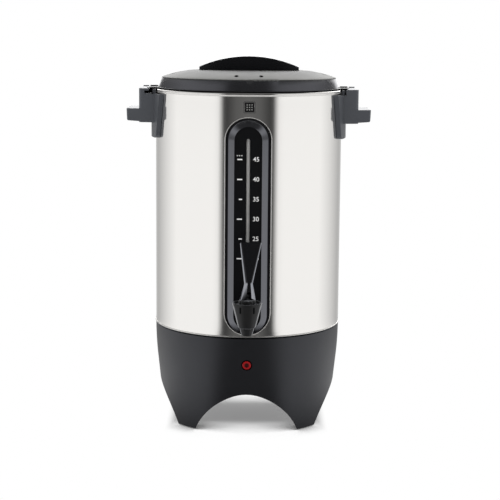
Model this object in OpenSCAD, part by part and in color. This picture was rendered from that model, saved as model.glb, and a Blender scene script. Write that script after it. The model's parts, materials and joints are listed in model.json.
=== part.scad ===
// Coffee urn of the percolating kind: a steel tank on an arched plastic base, with a
// lift-off lid, two side grips, a sight gauge and a spring-closed lever tap.
// Lengths are in millimetres. Z is up, the table is at z = 0 and the tap faces -Y.

/* [Tank] */
// Outside radius of the steel tank
tank_r = 107; // [104:0.5:110]
// Thickness of the tank's sheet steel
tank_wall = 0.8; // [0.6:0.1:1]
// Height of the steel's lower edge above the table
tank_low = 113; // [111:0.5:115]
// Height of the rolled rim above the table
rim_z = 383; // [380:0.5:390]
// Radius of the roll that finishes the rim
roll_r = 2; // [1.8:0.1:2.2]
// Height of the tank's inner floor
floor_z = 122.5; // [121:0.5:125]
// Inside radius of the well in the tank's floor
well_r = 24; // [20:1:26]
// Depth of the well
well_deep = 9; // [6:1:10]

/* [Base] */
// Thickness of the moulded skirt
skirt_wall = 3; // [2.5:0.1:3.5]
// Lean of the skirt's lower part from the vertical
skirt_lean = 6.16; // [5:0.1:7]
// Radius of the curve that brings the skirt up to the steel
skirt_curve = 380; // [340:10:420]
// Height of the crown of the four arches
arch_top = 46.8; // [44:0.2:48]
// Radius of an arch at its crown
arch_crown = 43.2; // [42:0.2:44]
// Radius of an arch along its flanks
arch_flank = 74; // [70:1:78]
// Turn from the crown's middle to where the flank takes over
arch_turn = 22.25; // [20:0.25:24]
// Height of the underside of the bottom plate
plate_z = 52; // [50:0.5:56]
// Height of the pilot lamp
lamp_z = 81.6; // [78:0.2:86]
// Radius of the pilot lamp's lens
lamp_r = 4.75; // [4:0.25:6]

/* [Lid] */
// Thickness of the lid's moulding
lid_wall = 2.5; // [2:0.1:3]
// Height of the lid's flat top
lid_top = 404.6; // [404:0.2:407]
// Radius of the nearly flat crown, seen from the side
crown_curve = 2500; // [1500:100:4000]
// Radius of the shoulder between crown and edge, seen from the side
shoulder_curve = 120; // [100:5:150]
// Half the length of the grip on the lid
grip_half = 57; // [50:1:60]
// Height of the grip's top
grip_top = 420; // [418:0.5:424]
// Radius of the grip's arched top
grip_arc = 138; // [134:1:150]
// Half the thickness of the grip at its middle
grip_deep = 13; // [11:0.5:15]
// Radius of the steam vents
vent_r = 1.65; // [1:0.05:2]

/* [Handles] */
// Reach of the grip ledge from the tank's axis
ledge_reach = 138.9; // [136:0.1:146]
// Reach of the riser above the ledge
riser_reach = 124.5; // [123:0.5:128]
// Height of the ledge's upper face
ledge_top = 360.8; // [358:0.2:364]
// Height of the ledge's underside at its outer edge
ledge_low = 347; // [345:0.2:349]
// Height of the mounting flange's lower edge
flange_low = 328.3; // [325:0.1:335]
// Height of the handle's top plate
handle_top = 383.6; // [383:0.1:384.5]

/* [Gauge] */
// Radius of the gauge housing's round ends, at the tank
gauge_r = 25.1; // [24:0.1:26]
// Radius of the scale plate's round ends
scale_r = 14.9; // [14:0.05:15.5]
// Height of the centre of the housing's upper end
gauge_high = 332; // [328:0.1:336]
// Height of the centre of the housing's lower end
gauge_low = 140; // [139:0.1:142]
// Outside radius of the gauge glass
glass_r = 3.5; // [3:0.1:3.6]
// Width of the slot through which the glass is read
slot_w = 3.8; // [3:0.1:4.4]

/* [Tap] */
// Distance of the tap's upright axis in front of the tank's axis
tap_out = 134; // [132:0.5:138]
// Height of the shank's axis
shank_z = 141.3; // [140:0.1:143]
// Radius of the tap's cup at its rim
cup_r = 16.25; // [15.5:0.25:17]
// Height of the cup's rim
cup_top = 158; // [157:0.5:159]
// Height of the nozzle's mouth
nozzle_low = 121.8; // [119:0.1:123]
// Swivel of the bonnet and lever about the tap's upright axis, to the right
bonnet_turn = 14; // [-20:1:20]
// Height of the lever's tip
lever_top = 226.2; // [220:0.1:236]
// Rise of the valve stem for each radian that the lever tilts
cam_rise = 3.2; // [2.6:0.1:3.4]
// Widest tilt of the lever
lever_tilt = 40; // [30:1:45]

/* [Percolator] */
// Outside radius of the coffee basket
basket_r = 75; // [65:1:82]
// Height of the basket's floor
basket_low = 314; // [312:1:318]
// Height of the basket's rim
basket_high = 366; // [362:1:368]
// Height of the top of the pump tube
pump_top = 382; // [378:1:386]

/* [Hidden] */
$fn = 96;
smooth = 360;

// The frame's origin is under the middle of the whole urn, so the tank's axis stands back from it
front_reach = 152.4;
back_reach = tank_r + 1.5;
axis_y = (front_reach - back_reach) / 2;

// Clearances: between bodies that part, between fixed pieces, and round a pin or a stem
body_gap = 0.3;
seat_gap = 0.05;
pin_gap = 0.05;

tank_in = tank_r - tank_wall;
roll_centre = tank_r - 0.5;
far = 400;

pad_high = 1;
pad_spot = 63.5;
pad_r = 5;
peg_r = 2.8;

skirt_r = tank_r - 0.1;
skirt_top = tank_low - seat_gap;
shelf_z = 98;
stud_at = 90;
stud_r = 2.5;
stud_low = 91;
plate_thick = 2;
plate_r = 98.6;
boss_at = 90;

lid_low = rim_z + body_gap;
lip_top = lid_low + 1.5;
lip_r = tank_r;
ear_r = 114;
ear_half = 22;
tongue_low = 378.3;
tab_high = 380.6;
tab_start = 8;
grip_screw_x = 35;
vent_at = 86.3;
vent_side = 13.5;

handle_in = tank_r + body_gap;
flange_r = 112;
handle_wall = 3;
screw_high = 366;
screw_mid = 351.5;
screw_r = 2;

gauge_back = 100;
shoulder_out = 112.3;
rim_out = 119;
plate_out = 118;
scale_thick = 1.2;
glass_out = 112;
glass_low = 153;
glass_high = 340;
slot_high = 334;
gauge_screw_z = 349.5;

thread_r = 7;
washer_r = 11;
washer_top = shank_z + washer_r + 0.2;
neck_r = 8;
bonnet_low = 149.5;
bonnet_top = 160.9;
bonnet_r = 9.3;
cam_gap = 0.3;
pin_high = 4.7;
pin_z = bonnet_top + cam_gap + pin_high;
pin_r = 1.25;
stem_r = 2.5;
eye_half = 2.1;
fork_half = 2.4;
seat_z = 134.8;
neck_up = 13.8;

inlet_z = 82;
inlet_half_w = 16;
inlet_half_h = 11;

// Points along an arc about c, from angle a to angle b
function arc(c, r, a, b, n = 8) =
    [for (i = [0 : n]) c + r * [cos(a + (b - a) * i / n), sin(a + (b - a) * i / n)]];

// ---- placing and plain shapes ----

// Moves a piece drawn about the tank's axis to the urn's own frame
module place() { translate([0, axis_y, 0]) children(); }

// Moves a piece drawn about the tap's upright axis
module place_tap() { place() translate([0, -tap_out, 0]) children(); }

// Moves a piece drawn about the tap's axis that is swivelled with the bonnet
module place_bonnet() { place_tap() rotate([0, 0, bonnet_turn]) children(); }

// Turns a piece drawn lying down, with its height along Y and its front along Z, to face -Y
module face_front() { rotate([90, 0, 0]) children(); }

module ring(r_in, r_out, low, high) {
    rotate_extrude($fn = smooth) translate([r_in, low]) square([r_out - r_in, high - low]);
}

module post(x, y, low, high, r) { translate([x, y, low]) cylinder(h = high - low, r = r); }

// A bar along X from x1 to x2 at height z
module bar_x(x1, x2, y, z, r) { translate([x1, y, z]) rotate([0, 90, 0]) cylinder(h = x2 - x1, r = r); }

// A bar that runs forwards, from y1 out to y2 in front, at height z
module bar_front(x, y1, y2, z, r) {
    translate([x, -y1, z]) rotate([90, 0, 0]) cylinder(h = y2 - y1, r = r);
}

// A straight rod between two points
module rod(a, b, r) {
    d = b - a;
    translate(a) rotate([0, acos(d.z / norm(d)), atan2(d.y, d.x)]) cylinder(h = norm(d), r = r, $fn = 24);
}

// A lead through a list of points, with a slightly larger ball at each bend
module lead(points, r) {
    for (i = [1 : len(points) - 1]) rod(points[i - 1], points[i], r);
    for (i = [1 : len(points) - 2]) translate(points[i]) sphere(1.15 * r, $fn = 24);
}

// Pan-head screw whose shank runs up from z = 0, with a cross recess in its head
module pan_screw(length, r) {
    head_h = 1.3 * r;
    head_r = 2.1 * r;
    difference() {
        union() {
            cylinder(h = length, r = r);
            intersection() {
                translate([0, 0, -head_h]) cylinder(h = head_h, r = head_r);
                translate([0, 0, head_h]) sphere(2.45 * r);
            }
        }
        for (a = [0, 90])
            rotate([0, 0, a]) translate([-1.2 * r, -0.25 * r, -head_h - 1])
                cube([2.4 * r, 0.5 * r, 1.6 * r]);
    }
}

// ---- tank ----

// Sheet steel cylinder with a lip at its foot and an open roll at its rim
module tank_shell() {
    color("silver") place() difference() {
        rotate_extrude($fn = smooth) {
            translate([tank_in, tank_low]) square([tank_wall, rim_z - tank_low - 1.8 * roll_r]);
            translate([tank_r, tank_low + 0.7]) circle(0.7);
            translate([roll_centre, rim_z - roll_r]) difference() {
                circle(roll_r);
                circle(roll_r - tank_wall);
                rotate(-75) square([roll_r + 1, 0.5]);
            }
        }
        for (z = [screw_high, screw_mid])
            bar_x(-far / 2, far / 2, 0, z, screw_r + 0.2);
        bar_front(0, tank_r - 10, tank_r + 10, shank_z, thread_r + 0.3);
        bar_front(0, tank_r - 10, tank_r + 10, gauge_screw_z, 2);
    }
}

// Pressed floor with a rounded edge, a well for the pump tube and three welded studs
module tank_floor() {
    edge_r = tank_in - seat_gap;
    bend = 4;
    low = floor_z - tank_wall;
    well_low = floor_z - well_deep;
    edge_low = tank_low + 3;
    color("gainsboro") place() {
        rotate_extrude($fn = smooth) {
            translate([well_r, low]) square([edge_r - bend - well_r, tank_wall]);
            translate([edge_r - tank_wall, edge_low]) square([tank_wall, floor_z - bend - edge_low]);
            intersection() {
                translate([edge_r - bend, floor_z - bend]) difference() {
                    circle(bend);
                    circle(bend - tank_wall);
                }
                translate([edge_r - bend, floor_z - bend]) square(bend + 1);
            }
            translate([well_r, well_low - tank_wall]) square([tank_wall, well_deep + tank_wall]);
            translate([0, well_low - tank_wall]) square([well_r + tank_wall, tank_wall]);
        }
        for (a = [30, 150, 270])
            rotate([0, 0, a]) post(stud_at, 0, stud_low, low + 0.2, stud_r);
    }
}

// Washer-faced nuts that draw the tank down onto the base
module tie_nuts() {
    color("darkgray") place() for (a = [30, 150, 270])
        rotate([0, 0, a]) translate([stud_at, 0, 0]) difference() {
        union() {
            translate([0, 0, shelf_z - 1]) cylinder(h = 1 - seat_gap, r = 6);
            translate([0, 0, shelf_z - 5]) cylinder(h = 4, r = 4.6, $fn = 6);
        }
        translate([0, 0, shelf_z - 6]) cylinder(h = 8, r = stud_r + pin_gap);
    }
}

// Small plate on the steel above the gauge, with a raised square field
module badge_plate() {
    color("dimgray") place() {
        intersection() {
            ring(handle_in - 0.2, tank_r + 0.6, 355, 380);
            face_front() translate([1, 367.4, 0]) linear_extrude(far) rounded_slab(14.5, 13.5, 2);
        }
        intersection() {
            ring(handle_in - 0.2, tank_r + 0.9, 355, 380);
            face_front() translate([1, 367.4, 0]) linear_extrude(far) rounded_slab(10.6, 10, 0.8);
        }
    }
}

// Rounded rectangle, centred
module rounded_slab(w, h, r) {
    square([w - 2 * r, h], center = true);
    square([w, h - 2 * r], center = true);
    for (x = [-1, 1], y = [-1, 1])
        translate([x * (w / 2 - r), y * (h / 2 - r)]) circle(r);
}

// ---- base ----

// Where the skirt's curve meets its slope, for a surface moved inwards by inset
function knee(inset) = [
    skirt_r - skirt_curve + (skirt_curve - inset) * cos(skirt_lean),
    skirt_top - (skirt_curve - inset) * sin(skirt_lean)
];

// Half-section of everything inside the skirt's surface
module skirt_section(inset, low) {
    k = knee(inset);
    intersection() {
        translate([skirt_r - skirt_curve, skirt_top]) circle(skirt_curve - inset, $fn = 1440);
        translate([0, k.y]) square([tank_r + 5, skirt_top - k.y]);
    }
    polygon([[0, low], [k.x - (k.y - low) * tan(skirt_lean), low], k, [0, k.y]]);
}

// Skin that lies on the skirt's surface, as thick as out
module skirt_skin(out) {
    rotate_extrude($fn = smooth) difference() {
        skirt_section(-out, 60);
        skirt_section(-seat_gap, 59);
    }
}

// Moves a piece drawn along Z, outwards from z = 0, to the lamp's place on the skirt
module at_lamp() {
    drop = asin((skirt_top - lamp_z) / skirt_curve);
    translate([0, skirt_curve - skirt_r - skirt_curve * cos(drop), lamp_z])
        rotate([90 + drop, 0, 0]) children();
}

// Outline of an arch: a round crown whose flanks open out on a larger radius
module arch_outline() {
    crown = [0, arch_top - arch_crown];
    shift = (arch_flank - arch_crown) * sin(arch_turn);
    flank_y = crown.y - (arch_flank - arch_crown) * cos(arch_turn);
    foot = asin((-2 - flank_y) / arch_flank);
    polygon(concat(
        arc([-shift, flank_y], arch_flank, foot, 90 - arch_turn, 20),
        arc(crown, arch_crown, 93 - arch_turn, 87 + arch_turn, 12),
        arc([shift, flank_y], arch_flank, 90 + arch_turn, 180 - foot, 20)
    ));
}

// Skirt with four arches, a locating ring and shelf for the tank, and bosses for the plate
module base_skirt() {
    color([0.16, 0.165, 0.175]) place() difference() {
        union() {
            difference() {
                rotate_extrude($fn = smooth) skirt_section(0, pad_high);
                rotate_extrude($fn = smooth) {
                    skirt_section(skirt_wall, -1);
                    translate([0, skirt_top - 1]) square([skirt_r - skirt_wall, 2]);
                }
            }
            ring(tank_in - 3.4, tank_in - 1.3, skirt_top - 3, tank_low + 1.5);
            ring(82, skirt_r - skirt_wall + 0.3, shelf_z, shelf_z + 3);
            ring(80, 94.6, pad_high, pad_high + 3);
            for (a = [45 : 90 : 315]) rotate([0, 0, a]) {
                post(boss_at, 0, plate_z + plate_thick, 74, 4.5);
                translate([boss_at, -1.5, plate_z + plate_thick]) cube([12.4, 3, 20]);
            }
        }
        for (a = [0, 90]) rotate([0, 0, a])
            face_front() translate([0, 0, -far / 2]) linear_extrude(far) arch_outline();
        rotate_extrude($fn = smooth) translate([skirt_r - 0.8, skirt_top]) rotate(45) square(2);
        for (a = [30, 150, 270]) rotate([0, 0, a]) post(stud_at, 0, shelf_z - 1, shelf_z + 4, stud_r + 0.4);
        for (a = [45 : 90 : 315]) rotate([0, 0, a]) post(boss_at, 0, plate_z, 70, 1.6);
        for (x = [-1, 1], y = [-1, 1]) post(x * pad_spot, y * pad_spot, 0, pad_high + 4, peg_r + pin_gap);
        at_lamp() cylinder(h = 20, r = lamp_r - 0.6, center = true);
        translate([0, 100, inlet_z]) cube([2 * inlet_half_w, 30, 2 * inlet_half_h], center = true);
    }
}

// Bottom plate, screwed up to the bosses, with a ring of cooling slots
module base_plate() {
    color([0.12, 0.12, 0.13]) place() difference() {
        union() {
            ring(0, plate_r, plate_z, plate_z + plate_thick);
            ring(40, 41.5, plate_z + plate_thick - 0.5, plate_z + 8);
        }
        for (a = [15 : 30 : 345]) rotate([0, 0, a]) {
            translate([56, -1.5, plate_z - 1]) cube([18, 3, 4]);
            post(56, 0, plate_z - 1, plate_z + 3, 1.5);
            post(74, 0, plate_z - 1, plate_z + 3, 1.5);
        }
        for (a = [45 : 90 : 315]) rotate([0, 0, a]) post(boss_at, 0, plate_z - 1, plate_z + 3, 2.2);
    }
}

module base_screws() {
    color("darkgray") place() for (a = [45 : 90 : 315])
        rotate([0, 0, a]) translate([boss_at, 0, plate_z - seat_gap]) pan_screw(14, 1.5);
}

// Rubber feet: a pad with a peg that is pushed up through the skirt's foot
module foot_pads() {
    color([0.08, 0.08, 0.08]) place() for (x = [-1, 1], y = [-1, 1]) {
        post(x * pad_spot, y * pad_spot, 0, pad_high - seat_gap, pad_r);
        post(x * pad_spot, y * pad_spot, 0, pad_high + 3.1, peg_r);
        translate([x * pad_spot, y * pad_spot, pad_high + 3 + seat_gap])
            cylinder(h = 1.6, r1 = 3.5, r2 = 2.4);
    }
}

// ---- lid ----

// The lid's surface turns from crown to shoulder, from shoulder to edge and from edge to skirt
crown_end = 60;
edge_round = 2.8;
edge_at = 98.4;
skirt_flare = 20;
turn_1 = asin(crown_end / crown_curve);
crown_mid = [0, lid_top - crown_curve];
shoulder_mid = crown_mid + (crown_curve - shoulder_curve) * [sin(turn_1), cos(turn_1)];
turn_2 = asin((edge_at - shoulder_mid.x) / shoulder_curve);
edge_mid = shoulder_mid + (shoulder_curve - edge_round) * [sin(turn_2), cos(turn_2)];
turn_3 = 90 - skirt_flare;

// Half-section of everything inside the lid's surface, moved inwards by inset
module lid_section(inset, low) {
    j1 = crown_mid + (crown_curve - inset) * [sin(turn_1), cos(turn_1)];
    j2 = shoulder_mid + (shoulder_curve - inset) * [sin(turn_2), cos(turn_2)];
    j3 = edge_mid + (edge_round - inset) * [sin(turn_3), cos(turn_3)];
    intersection() {
        translate(crown_mid) circle(crown_curve - inset, $fn = 7200);
        translate([0, low]) square([j1.x, 40]);
    }
    intersection() {
        translate(shoulder_mid) circle(shoulder_curve - inset, $fn = 720);
        translate([j1.x, low]) square([j2.x - j1.x, 40]);
    }
    intersection() {
        translate(edge_mid) circle(edge_round - inset, $fn = smooth);
        translate([j2.x, edge_mid.y]) square([j3.x - j2.x, 10]);
    }
    polygon([[0, low], [j3.x + (j3.y - low) * tan(skirt_flare), low], j3, [0, j3.y]]);
}

// One ear, on the +X side: it reaches over the rim and carries the tongue of the twist lock.
// side is 1 for a tongue on the +Y half and -1 for one on the -Y half
module lid_ear(side) {
    near = side > 0 ? tab_start : -ear_half;
    intersection() {
        ring(100, ear_r, lid_low, lip_top);
        translate([90, -ear_half, lid_low - 1]) cube([40, 2 * ear_half, 5]);
    }
    intersection() {
        union() {
            ring(ear_r - 1.4, ear_r, tongue_low, lip_top);
            ring(ear_r - 0.1, ear_r + 2.8, tongue_low, tab_high);
        }
        translate([90, near, tongue_low - 1]) cube([40, ear_half - tab_start, 12]);
    }
    translate([104.6, -1, lip_top - 0.2]) cube([8.6, 2, 1.6]);
}

// Shallow moulded lid with a lip on the rim, a plug inside it, four pairs of vents and two ears
module lid_shell() {
    color([0.17, 0.175, 0.18]) place() difference() {
        union() {
            difference() {
                union() {
                    rotate_extrude($fn = smooth) lid_section(0, lid_low);
                    ring(95, lip_r, lid_low, lip_top);
                }
                rotate_extrude($fn = smooth) lid_section(lid_wall, lid_low - 1);
            }
            ring(101, 103.4, 375, lid_low + 0.8);
            lid_ear(1);
            mirror([1, 0, 0]) lid_ear(-1);
        }
        for (a = [0 : 90 : 270], s = [-1, 1])
            rotate([0, 0, a]) post(vent_at, s * vent_side, 385, 410, vent_r);
        for (x = [-1, 1]) post(x * grip_screw_x, 0, 390, 410, 1.7);
    }
}

// Outer form of the grip, or with an inset its hollow: a lens in plan under an arched top
module grip_form(inset) {
    plan_r = 207;
    intersection() {
        translate([0, far / 2, grip_top - grip_arc])
            face_front() cylinder(h = far, r = grip_arc - inset, $fn = smooth);
        translate([0, grip_deep - plan_r, 380]) cylinder(h = 60, r = plan_r - inset, $fn = smooth);
        translate([0, plan_r - grip_deep, 380]) cylinder(h = 60, r = plan_r - inset, $fn = smooth);
        translate([0, 0, 400]) cube([2 * (grip_half - inset), 40, 60], center = true);
    }
}

// Half-moon grip: a hollow moulding that sits on the lid and takes two screws from below
module lid_grip() {
    color([0.07, 0.07, 0.075]) place() difference() {
        union() {
            difference() {
                grip_form(0);
                grip_form(2.4);
            }
            intersection() {
                grip_form(1);
                for (x = [-1, 1]) post(x * grip_screw_x, 0, 380, 430, 4);
            }
            intersection() {
                grip_form(1);
                for (x = [-18, 0, 18]) translate([x - 0.8, -15, 380]) cube([1.6, 30, 50]);
            }
        }
        rotate_extrude($fn = smooth) lid_section(-seat_gap, 370);
        for (x = [-1, 1]) post(x * grip_screw_x, 0, 380, 413, 1.5 + pin_gap);
    }
}

module lid_grip_screws() {
    under = crown_mid.y + sqrt(pow(crown_curve - lid_wall, 2) - pow(grip_screw_x + 4, 2)) - seat_gap;
    color("darkgray") place() for (x = [-1, 1]) translate([x * grip_screw_x, 0, under]) pan_screw(10, 1.5);
}

// ---- handles ----

// Half the handle's width at a distance x from the tank's axis, and the taper of its sides
handle_taper = atan(6 / 33.7);
function handle_half(x) = 32 - (x - 107) * tan(handle_taper);

// Plan of the handle out to a reach, with rounded outer corners
function handle_plan(reach, r, thin = 0) =
    let (c = [reach - r, handle_half(reach - r) - thin - r / cos(handle_taper)])
    concat(
        [[90, thin - handle_half(90)]],
        arc([c.x, -c.y], r, handle_taper - 90, 0),
        arc(c, r, 0, 90 - handle_taper),
        [[90, handle_half(90) - thin]]
    );

// Side view of the ledge: its underside rises outwards and its nose leans in
module ledge_side() {
    polygon(concat(
        [[90, ledge_low - 2.6]],
        arc([ledge_reach - 2.5, ledge_low + 1.9], 1.9, -87, -4),
        arc([ledge_reach - 0.8, ledge_top - 0.8], 0.8, 0, 90),
        [[90, ledge_top]]
    ));
}

// Flange that follows the tank, narrower towards its lower end
module handle_flange() {
    high = 380;
    low_half = 40.5;
    high_half = 50.7;
    round_r = 5;
    top = rim_z - 2 * roll_r - 1.2;
    intersection() {
        ring(handle_in, flange_r, flange_low, top);
        translate([90, 0, 0]) rotate([90, 0, 90]) linear_extrude(40) polygon(concat(
            arc([low_half - round_r, flange_low + round_r], round_r, -90, -11),
            [[high_half, high], [-high_half, high]],
            arc([round_r - low_half, flange_low + round_r], round_r, 191, 270)
        ));
    }
}

// Handle on the +X side. The lock slot in its top opens towards +Y when open_end is 1
// and towards -Y when it is -1
module handle(open_end) {
    slot_low = tongue_low - 0.5;
    slot_top = tab_high + 0.5;
    strip_top = rim_z - 0.4;
    difference() {
        union() {
            handle_flange();
            difference() {
                union() {
                    translate([0, 0, ledge_low - 1.8]) linear_extrude(handle_top - ledge_low + 1.8)
                        polygon(handle_plan(riser_reach, 3.5));
                    intersection() {
                        translate([0, 0, 340]) linear_extrude(30) polygon(handle_plan(ledge_reach, 2.5));
                        translate([0, 50, 0]) face_front() linear_extrude(100) ledge_side();
                    }
                }
                cylinder(h = far + 50, r = flange_r - 0.5, $fn = smooth);
                difference() {
                    union() {
                        translate([0, 0, 340]) linear_extrude(33)
                            polygon(handle_plan(riser_reach - handle_wall, 2, handle_wall));
                        translate([0, 0, 340]) linear_extrude(ledge_top - handle_wall - 340)
                            polygon(handle_plan(ledge_reach - handle_wall, 2, handle_wall));
                    }
                    cylinder(h = far + 50, r = flange_r + 2.5, $fn = smooth);
                    for (z = [screw_high, screw_mid]) bar_x(flange_r, riser_reach - 1, 0, z, 5);
                    translate([flange_r, -1, 340]) cube([14, 2, 50]);
                }
            }
            intersection() {
                ring(109.6, flange_r, 370, strip_top);
                translate([90, -31, 370]) cube([40, 62, 20]);
            }
            translate([116.6, 26.4, handle_top - 0.5]) cube([6.6, 1.4, 1.6]);
        }
        difference() {
            union() {
                ring(flange_r, ear_r + 0.6, 377, far);
                ring(flange_r - 1, flange_r + 0.1, strip_top, far);
            }
            translate([-far / 2, -far, 300]) cube([far / 2 + 90, 2 * far, 100]);
        }
        lock_cut(open_end, -10, ear_r + 8, slot_low, slot_top);
        lock_cut(open_end, tab_start - 4, ear_r + 3.4, slot_low, far);
        for (z = [screw_high, screw_mid]) bar_x(100, 119, 0, z, screw_r + pin_gap);
    }
}

// Part of a ring about the tank's axis, cut away from start to the open end of the slot
module lock_cut(open_end, start, r_out, low, high) {
    near = open_end > 0 ? start : -start - 60;
    intersection() {
        ring(flange_r, r_out, low, high);
        translate([90, near, low - 1]) cube([50, 60, high - low + 2]);
    }
}

module handle_right() { color([0.30, 0.31, 0.32]) place() handle(1); }

module handle_left() { color([0.30, 0.31, 0.32]) place() mirror([1, 0, 0]) handle(-1); }

// Screws from inside the tank into the handles' bosses, and the sealing washers under them
module handle_screws() {
    color("silver") place() for (s = [0, 180], z = [screw_high, screw_mid])
        rotate([0, 0, s]) translate([tank_in - 1.25, 0, z]) rotate([0, 90, 0]) pan_screw(13, screw_r);
}

module handle_washers() {
    color("gray") place() for (s = [0, 180], z = [screw_high, screw_mid]) rotate([0, 0, s]) difference() {
        bar_x(tank_in - 1.2, tank_in - 0.2, 0, z, 5);
        bar_x(tank_in - 2, tank_in + 1, 0, z, screw_r + pin_gap);
    }
}

// ---- gauge ----

// Sweeps a section round the upright stadium between gauge_low and gauge_high.
// In the section x is the distance from the stadium's middle line and y the distance in front
module stadium_sweep(section) {
    face_front() {
        translate([0, gauge_high, 0]) rotate_extrude(angle = 180, $fn = smooth) polygon(section);
        translate([0, gauge_low, 0]) rotate([0, 0, 180])
            rotate_extrude(angle = 180, $fn = smooth) polygon(section);
        for (s = [0, 1]) mirror([s, 0, 0]) translate([0, gauge_high, 0])
            rotate([90, 0, 0]) linear_extrude(gauge_high - gauge_low) polygon(section);
    }
}

// Flat stadium of radius r between two distances in front of the tank's axis
module stadium_plate(r, near, out, low = gauge_low, high = gauge_high) {
    face_front() translate([0, 0, near]) linear_extrude(out - near) {
        translate([-r, low]) square([2 * r, high - low]);
        for (y = [low, high]) translate([0, y]) circle(r, $fn = smooth);
    }
}

// Bezel with drafted sides, a broad bevel and an inner ledge that carries the scale plate
module gauge_housing() {
    seat = plate_out - scale_thick - seat_gap;
    color([0.12, 0.12, 0.125]) place() difference() {
        union() {
            stadium_sweep([
                [gauge_r + 1.8, gauge_back], [gauge_r - 3.05, shoulder_out - 1],
                [gauge_r - 3.5, shoulder_out], [scale_r + 0.6, rim_out - 0.2],
                [scale_r + 0.15, rim_out], [scale_r + 0.15, seat],
                [scale_r - 1.5, seat], [scale_r - 1.5, seat - 1.4], [scale_r + 0.5, seat - 1.4],
                [gauge_r - 5.4, shoulder_out - 1.2], [gauge_r - 5, shoulder_out - 2],
                [gauge_r - 0.2, gauge_back]
            ]);
            bar_front(0, gauge_back, 115.5, gauge_screw_z, 3.6);
        }
        cylinder(h = far, r = handle_in, $fn = smooth);
        bar_front(0, gauge_back, 113.5, gauge_screw_z, 1.6);
    }
}

// Black plate with the long slot in front of the glass and a hole for the tap's shank
module gauge_scale_plate() {
    color([0.05, 0.05, 0.05]) place() difference() {
        stadium_plate(scale_r, plate_out - scale_thick, plate_out);
        stadium_plate(slot_w / 2, 110, 125, glass_low + 13, slot_high - slot_w / 2);
        bar_front(0, 110, 125, shank_z, neck_r + 0.6);
    }
}

module gauge_glass() {
    color([0.8, 0.85, 0.85, 0.5]) place() translate([0, -glass_out, 0])
        ring(glass_r - 1, glass_r, glass_low, glass_high);
}

// Vented cap on the glass, and the rubber ring that seals its foot
module gauge_cap() {
    color([0.1, 0.1, 0.1]) place() translate([0, -glass_out, 0]) difference() {
        cylinder(h = glass_high + 2.5, r = 4.6);
        translate([0, 0, -1]) cylinder(h = glass_high - 4 + 1, r = 10);
        translate([0, 0, glass_high - 5]) cylinder(h = 5 + seat_gap, r = glass_r + pin_gap);
        translate([0, 0, glass_high - 5]) cylinder(h = 10, r = 1);
    }
}

module gauge_seal() {
    color([0.6, 0.6, 0.58]) place() translate([0, -glass_out, 0])
        ring(glass_r + pin_gap, 4.5, glass_low + 6 + seat_gap, glass_low + 9);
}

module gauge_screw() {
    color("silver") place() translate([0, 0.1 - tank_in, gauge_screw_z])
        rotate([90, 0, 0]) pan_screw(7, 1.55);
}

// ---- tap ----

// Cup-shaped body with its nozzle, and the shank that carries it and feeds the gauge glass
module tap_body() {
    color([0.1, 0.1, 0.105]) place() difference() {
        union() {
            translate([0, -tap_out, 0]) rotate_extrude($fn = smooth) {
                polygon([
                    [0, nozzle_low], [5.6, nozzle_low], [6.1, nozzle_low + 0.5], [8, 130.2], [9.2, 130.6],
                    [9.75, 131.4], [cup_r, cup_top - 0.8],
                    [cup_r - 0.1, cup_top - 0.3], [cup_r - 0.5, cup_top],
                    [cup_r - 1.2, cup_top], [cup_r - 1.55, cup_top - 0.4], [cup_r - 1.6, cup_top - 3],
                    [0, cup_top - 3]
                ]);
            }
            bar_front(0, 88, tap_out - 4, shank_z, thread_r);
            bar_front(0, 109.3, 114, shank_z, washer_r);
            bar_front(0, 113, tap_out - 4, shank_z, neck_r);
            translate([0, -glass_out, 0]) post(0, 0, washer_top, glass_low + 6, 4.6);
            intersection() {
                translate([0, -glass_out, 0]) post(0, 0, shank_z, washer_top + 1, 4.6);
                translate([-10, -130, shank_z]) cube([20, 130 - 109.3, 30]);
            }
        }
        translate([0, -tap_out, 0]) {
            post(0, 0, nozzle_low - 1, seat_z + 1, 4);
            difference() {
                post(0, 0, seat_z - 0.8, bonnet_low + 1, 8.6);
                ring(4, 5, seat_z - 1, seat_z);
            }
            post(0, 0, bonnet_low, 170, 10);
            for (i = [-1 : 2]) rotate([0, 0, bonnet_turn + 37 + 72 * i])
                translate([0, -cup_r + 1.4, 146]) cup_groove();
        }
        bar_front(0, 80, tap_out - 5, shank_z, 4.3);
        translate([0, -glass_out, 0]) {
            post(0, 0, glass_low - seat_gap, 160, glass_r + pin_gap);
            post(0, 0, shank_z, glass_low + 1, 2.4);
        }
    }
}

// Shallow upright groove that follows the lean of the cup's side
module cup_groove() {
    lean = atan((cup_r - 9.75) / (cup_top - 131.4));
    rotate([lean, 0, 0]) {
        translate([-0.9, -2, 0]) cube([1.8, 2.4, 6.4]);
        for (z = [0, 6.4]) translate([0, 0.4, z]) rotate([90, 0, 0]) cylinder(h = 2.4, r = 0.9);
    }
}

module tap_outer_washer() {
    color([0.75, 0.74, 0.7]) place() difference() {
        bar_front(0, tank_r + 0.6, 109.25, shank_z, washer_r);
        bar_front(0, 100, 120, shank_z, thread_r + pin_gap);
    }
}

module tap_inner_washer() {
    color([0.75, 0.74, 0.7]) place() difference() {
        bar_front(0, tank_in - 2.8, tank_in - 0.8, shank_z, washer_r);
        bar_front(0, 90, 120, shank_z, thread_r + pin_gap);
    }
}

module tap_lock_nut() {
    color([0.7, 0.7, 0.68]) place() difference() {
        union() {
            bar_front(0, tank_in - 4.4, tank_in - 2.85, shank_z, 12);
            translate([0, 4.3 - tank_in, shank_z]) rotate([-90, 0, 0]) cylinder(h = 6, r = 11.5, $fn = 6);
        }
        bar_front(0, 80, 120, shank_z, thread_r + pin_gap);
    }
}

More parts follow.
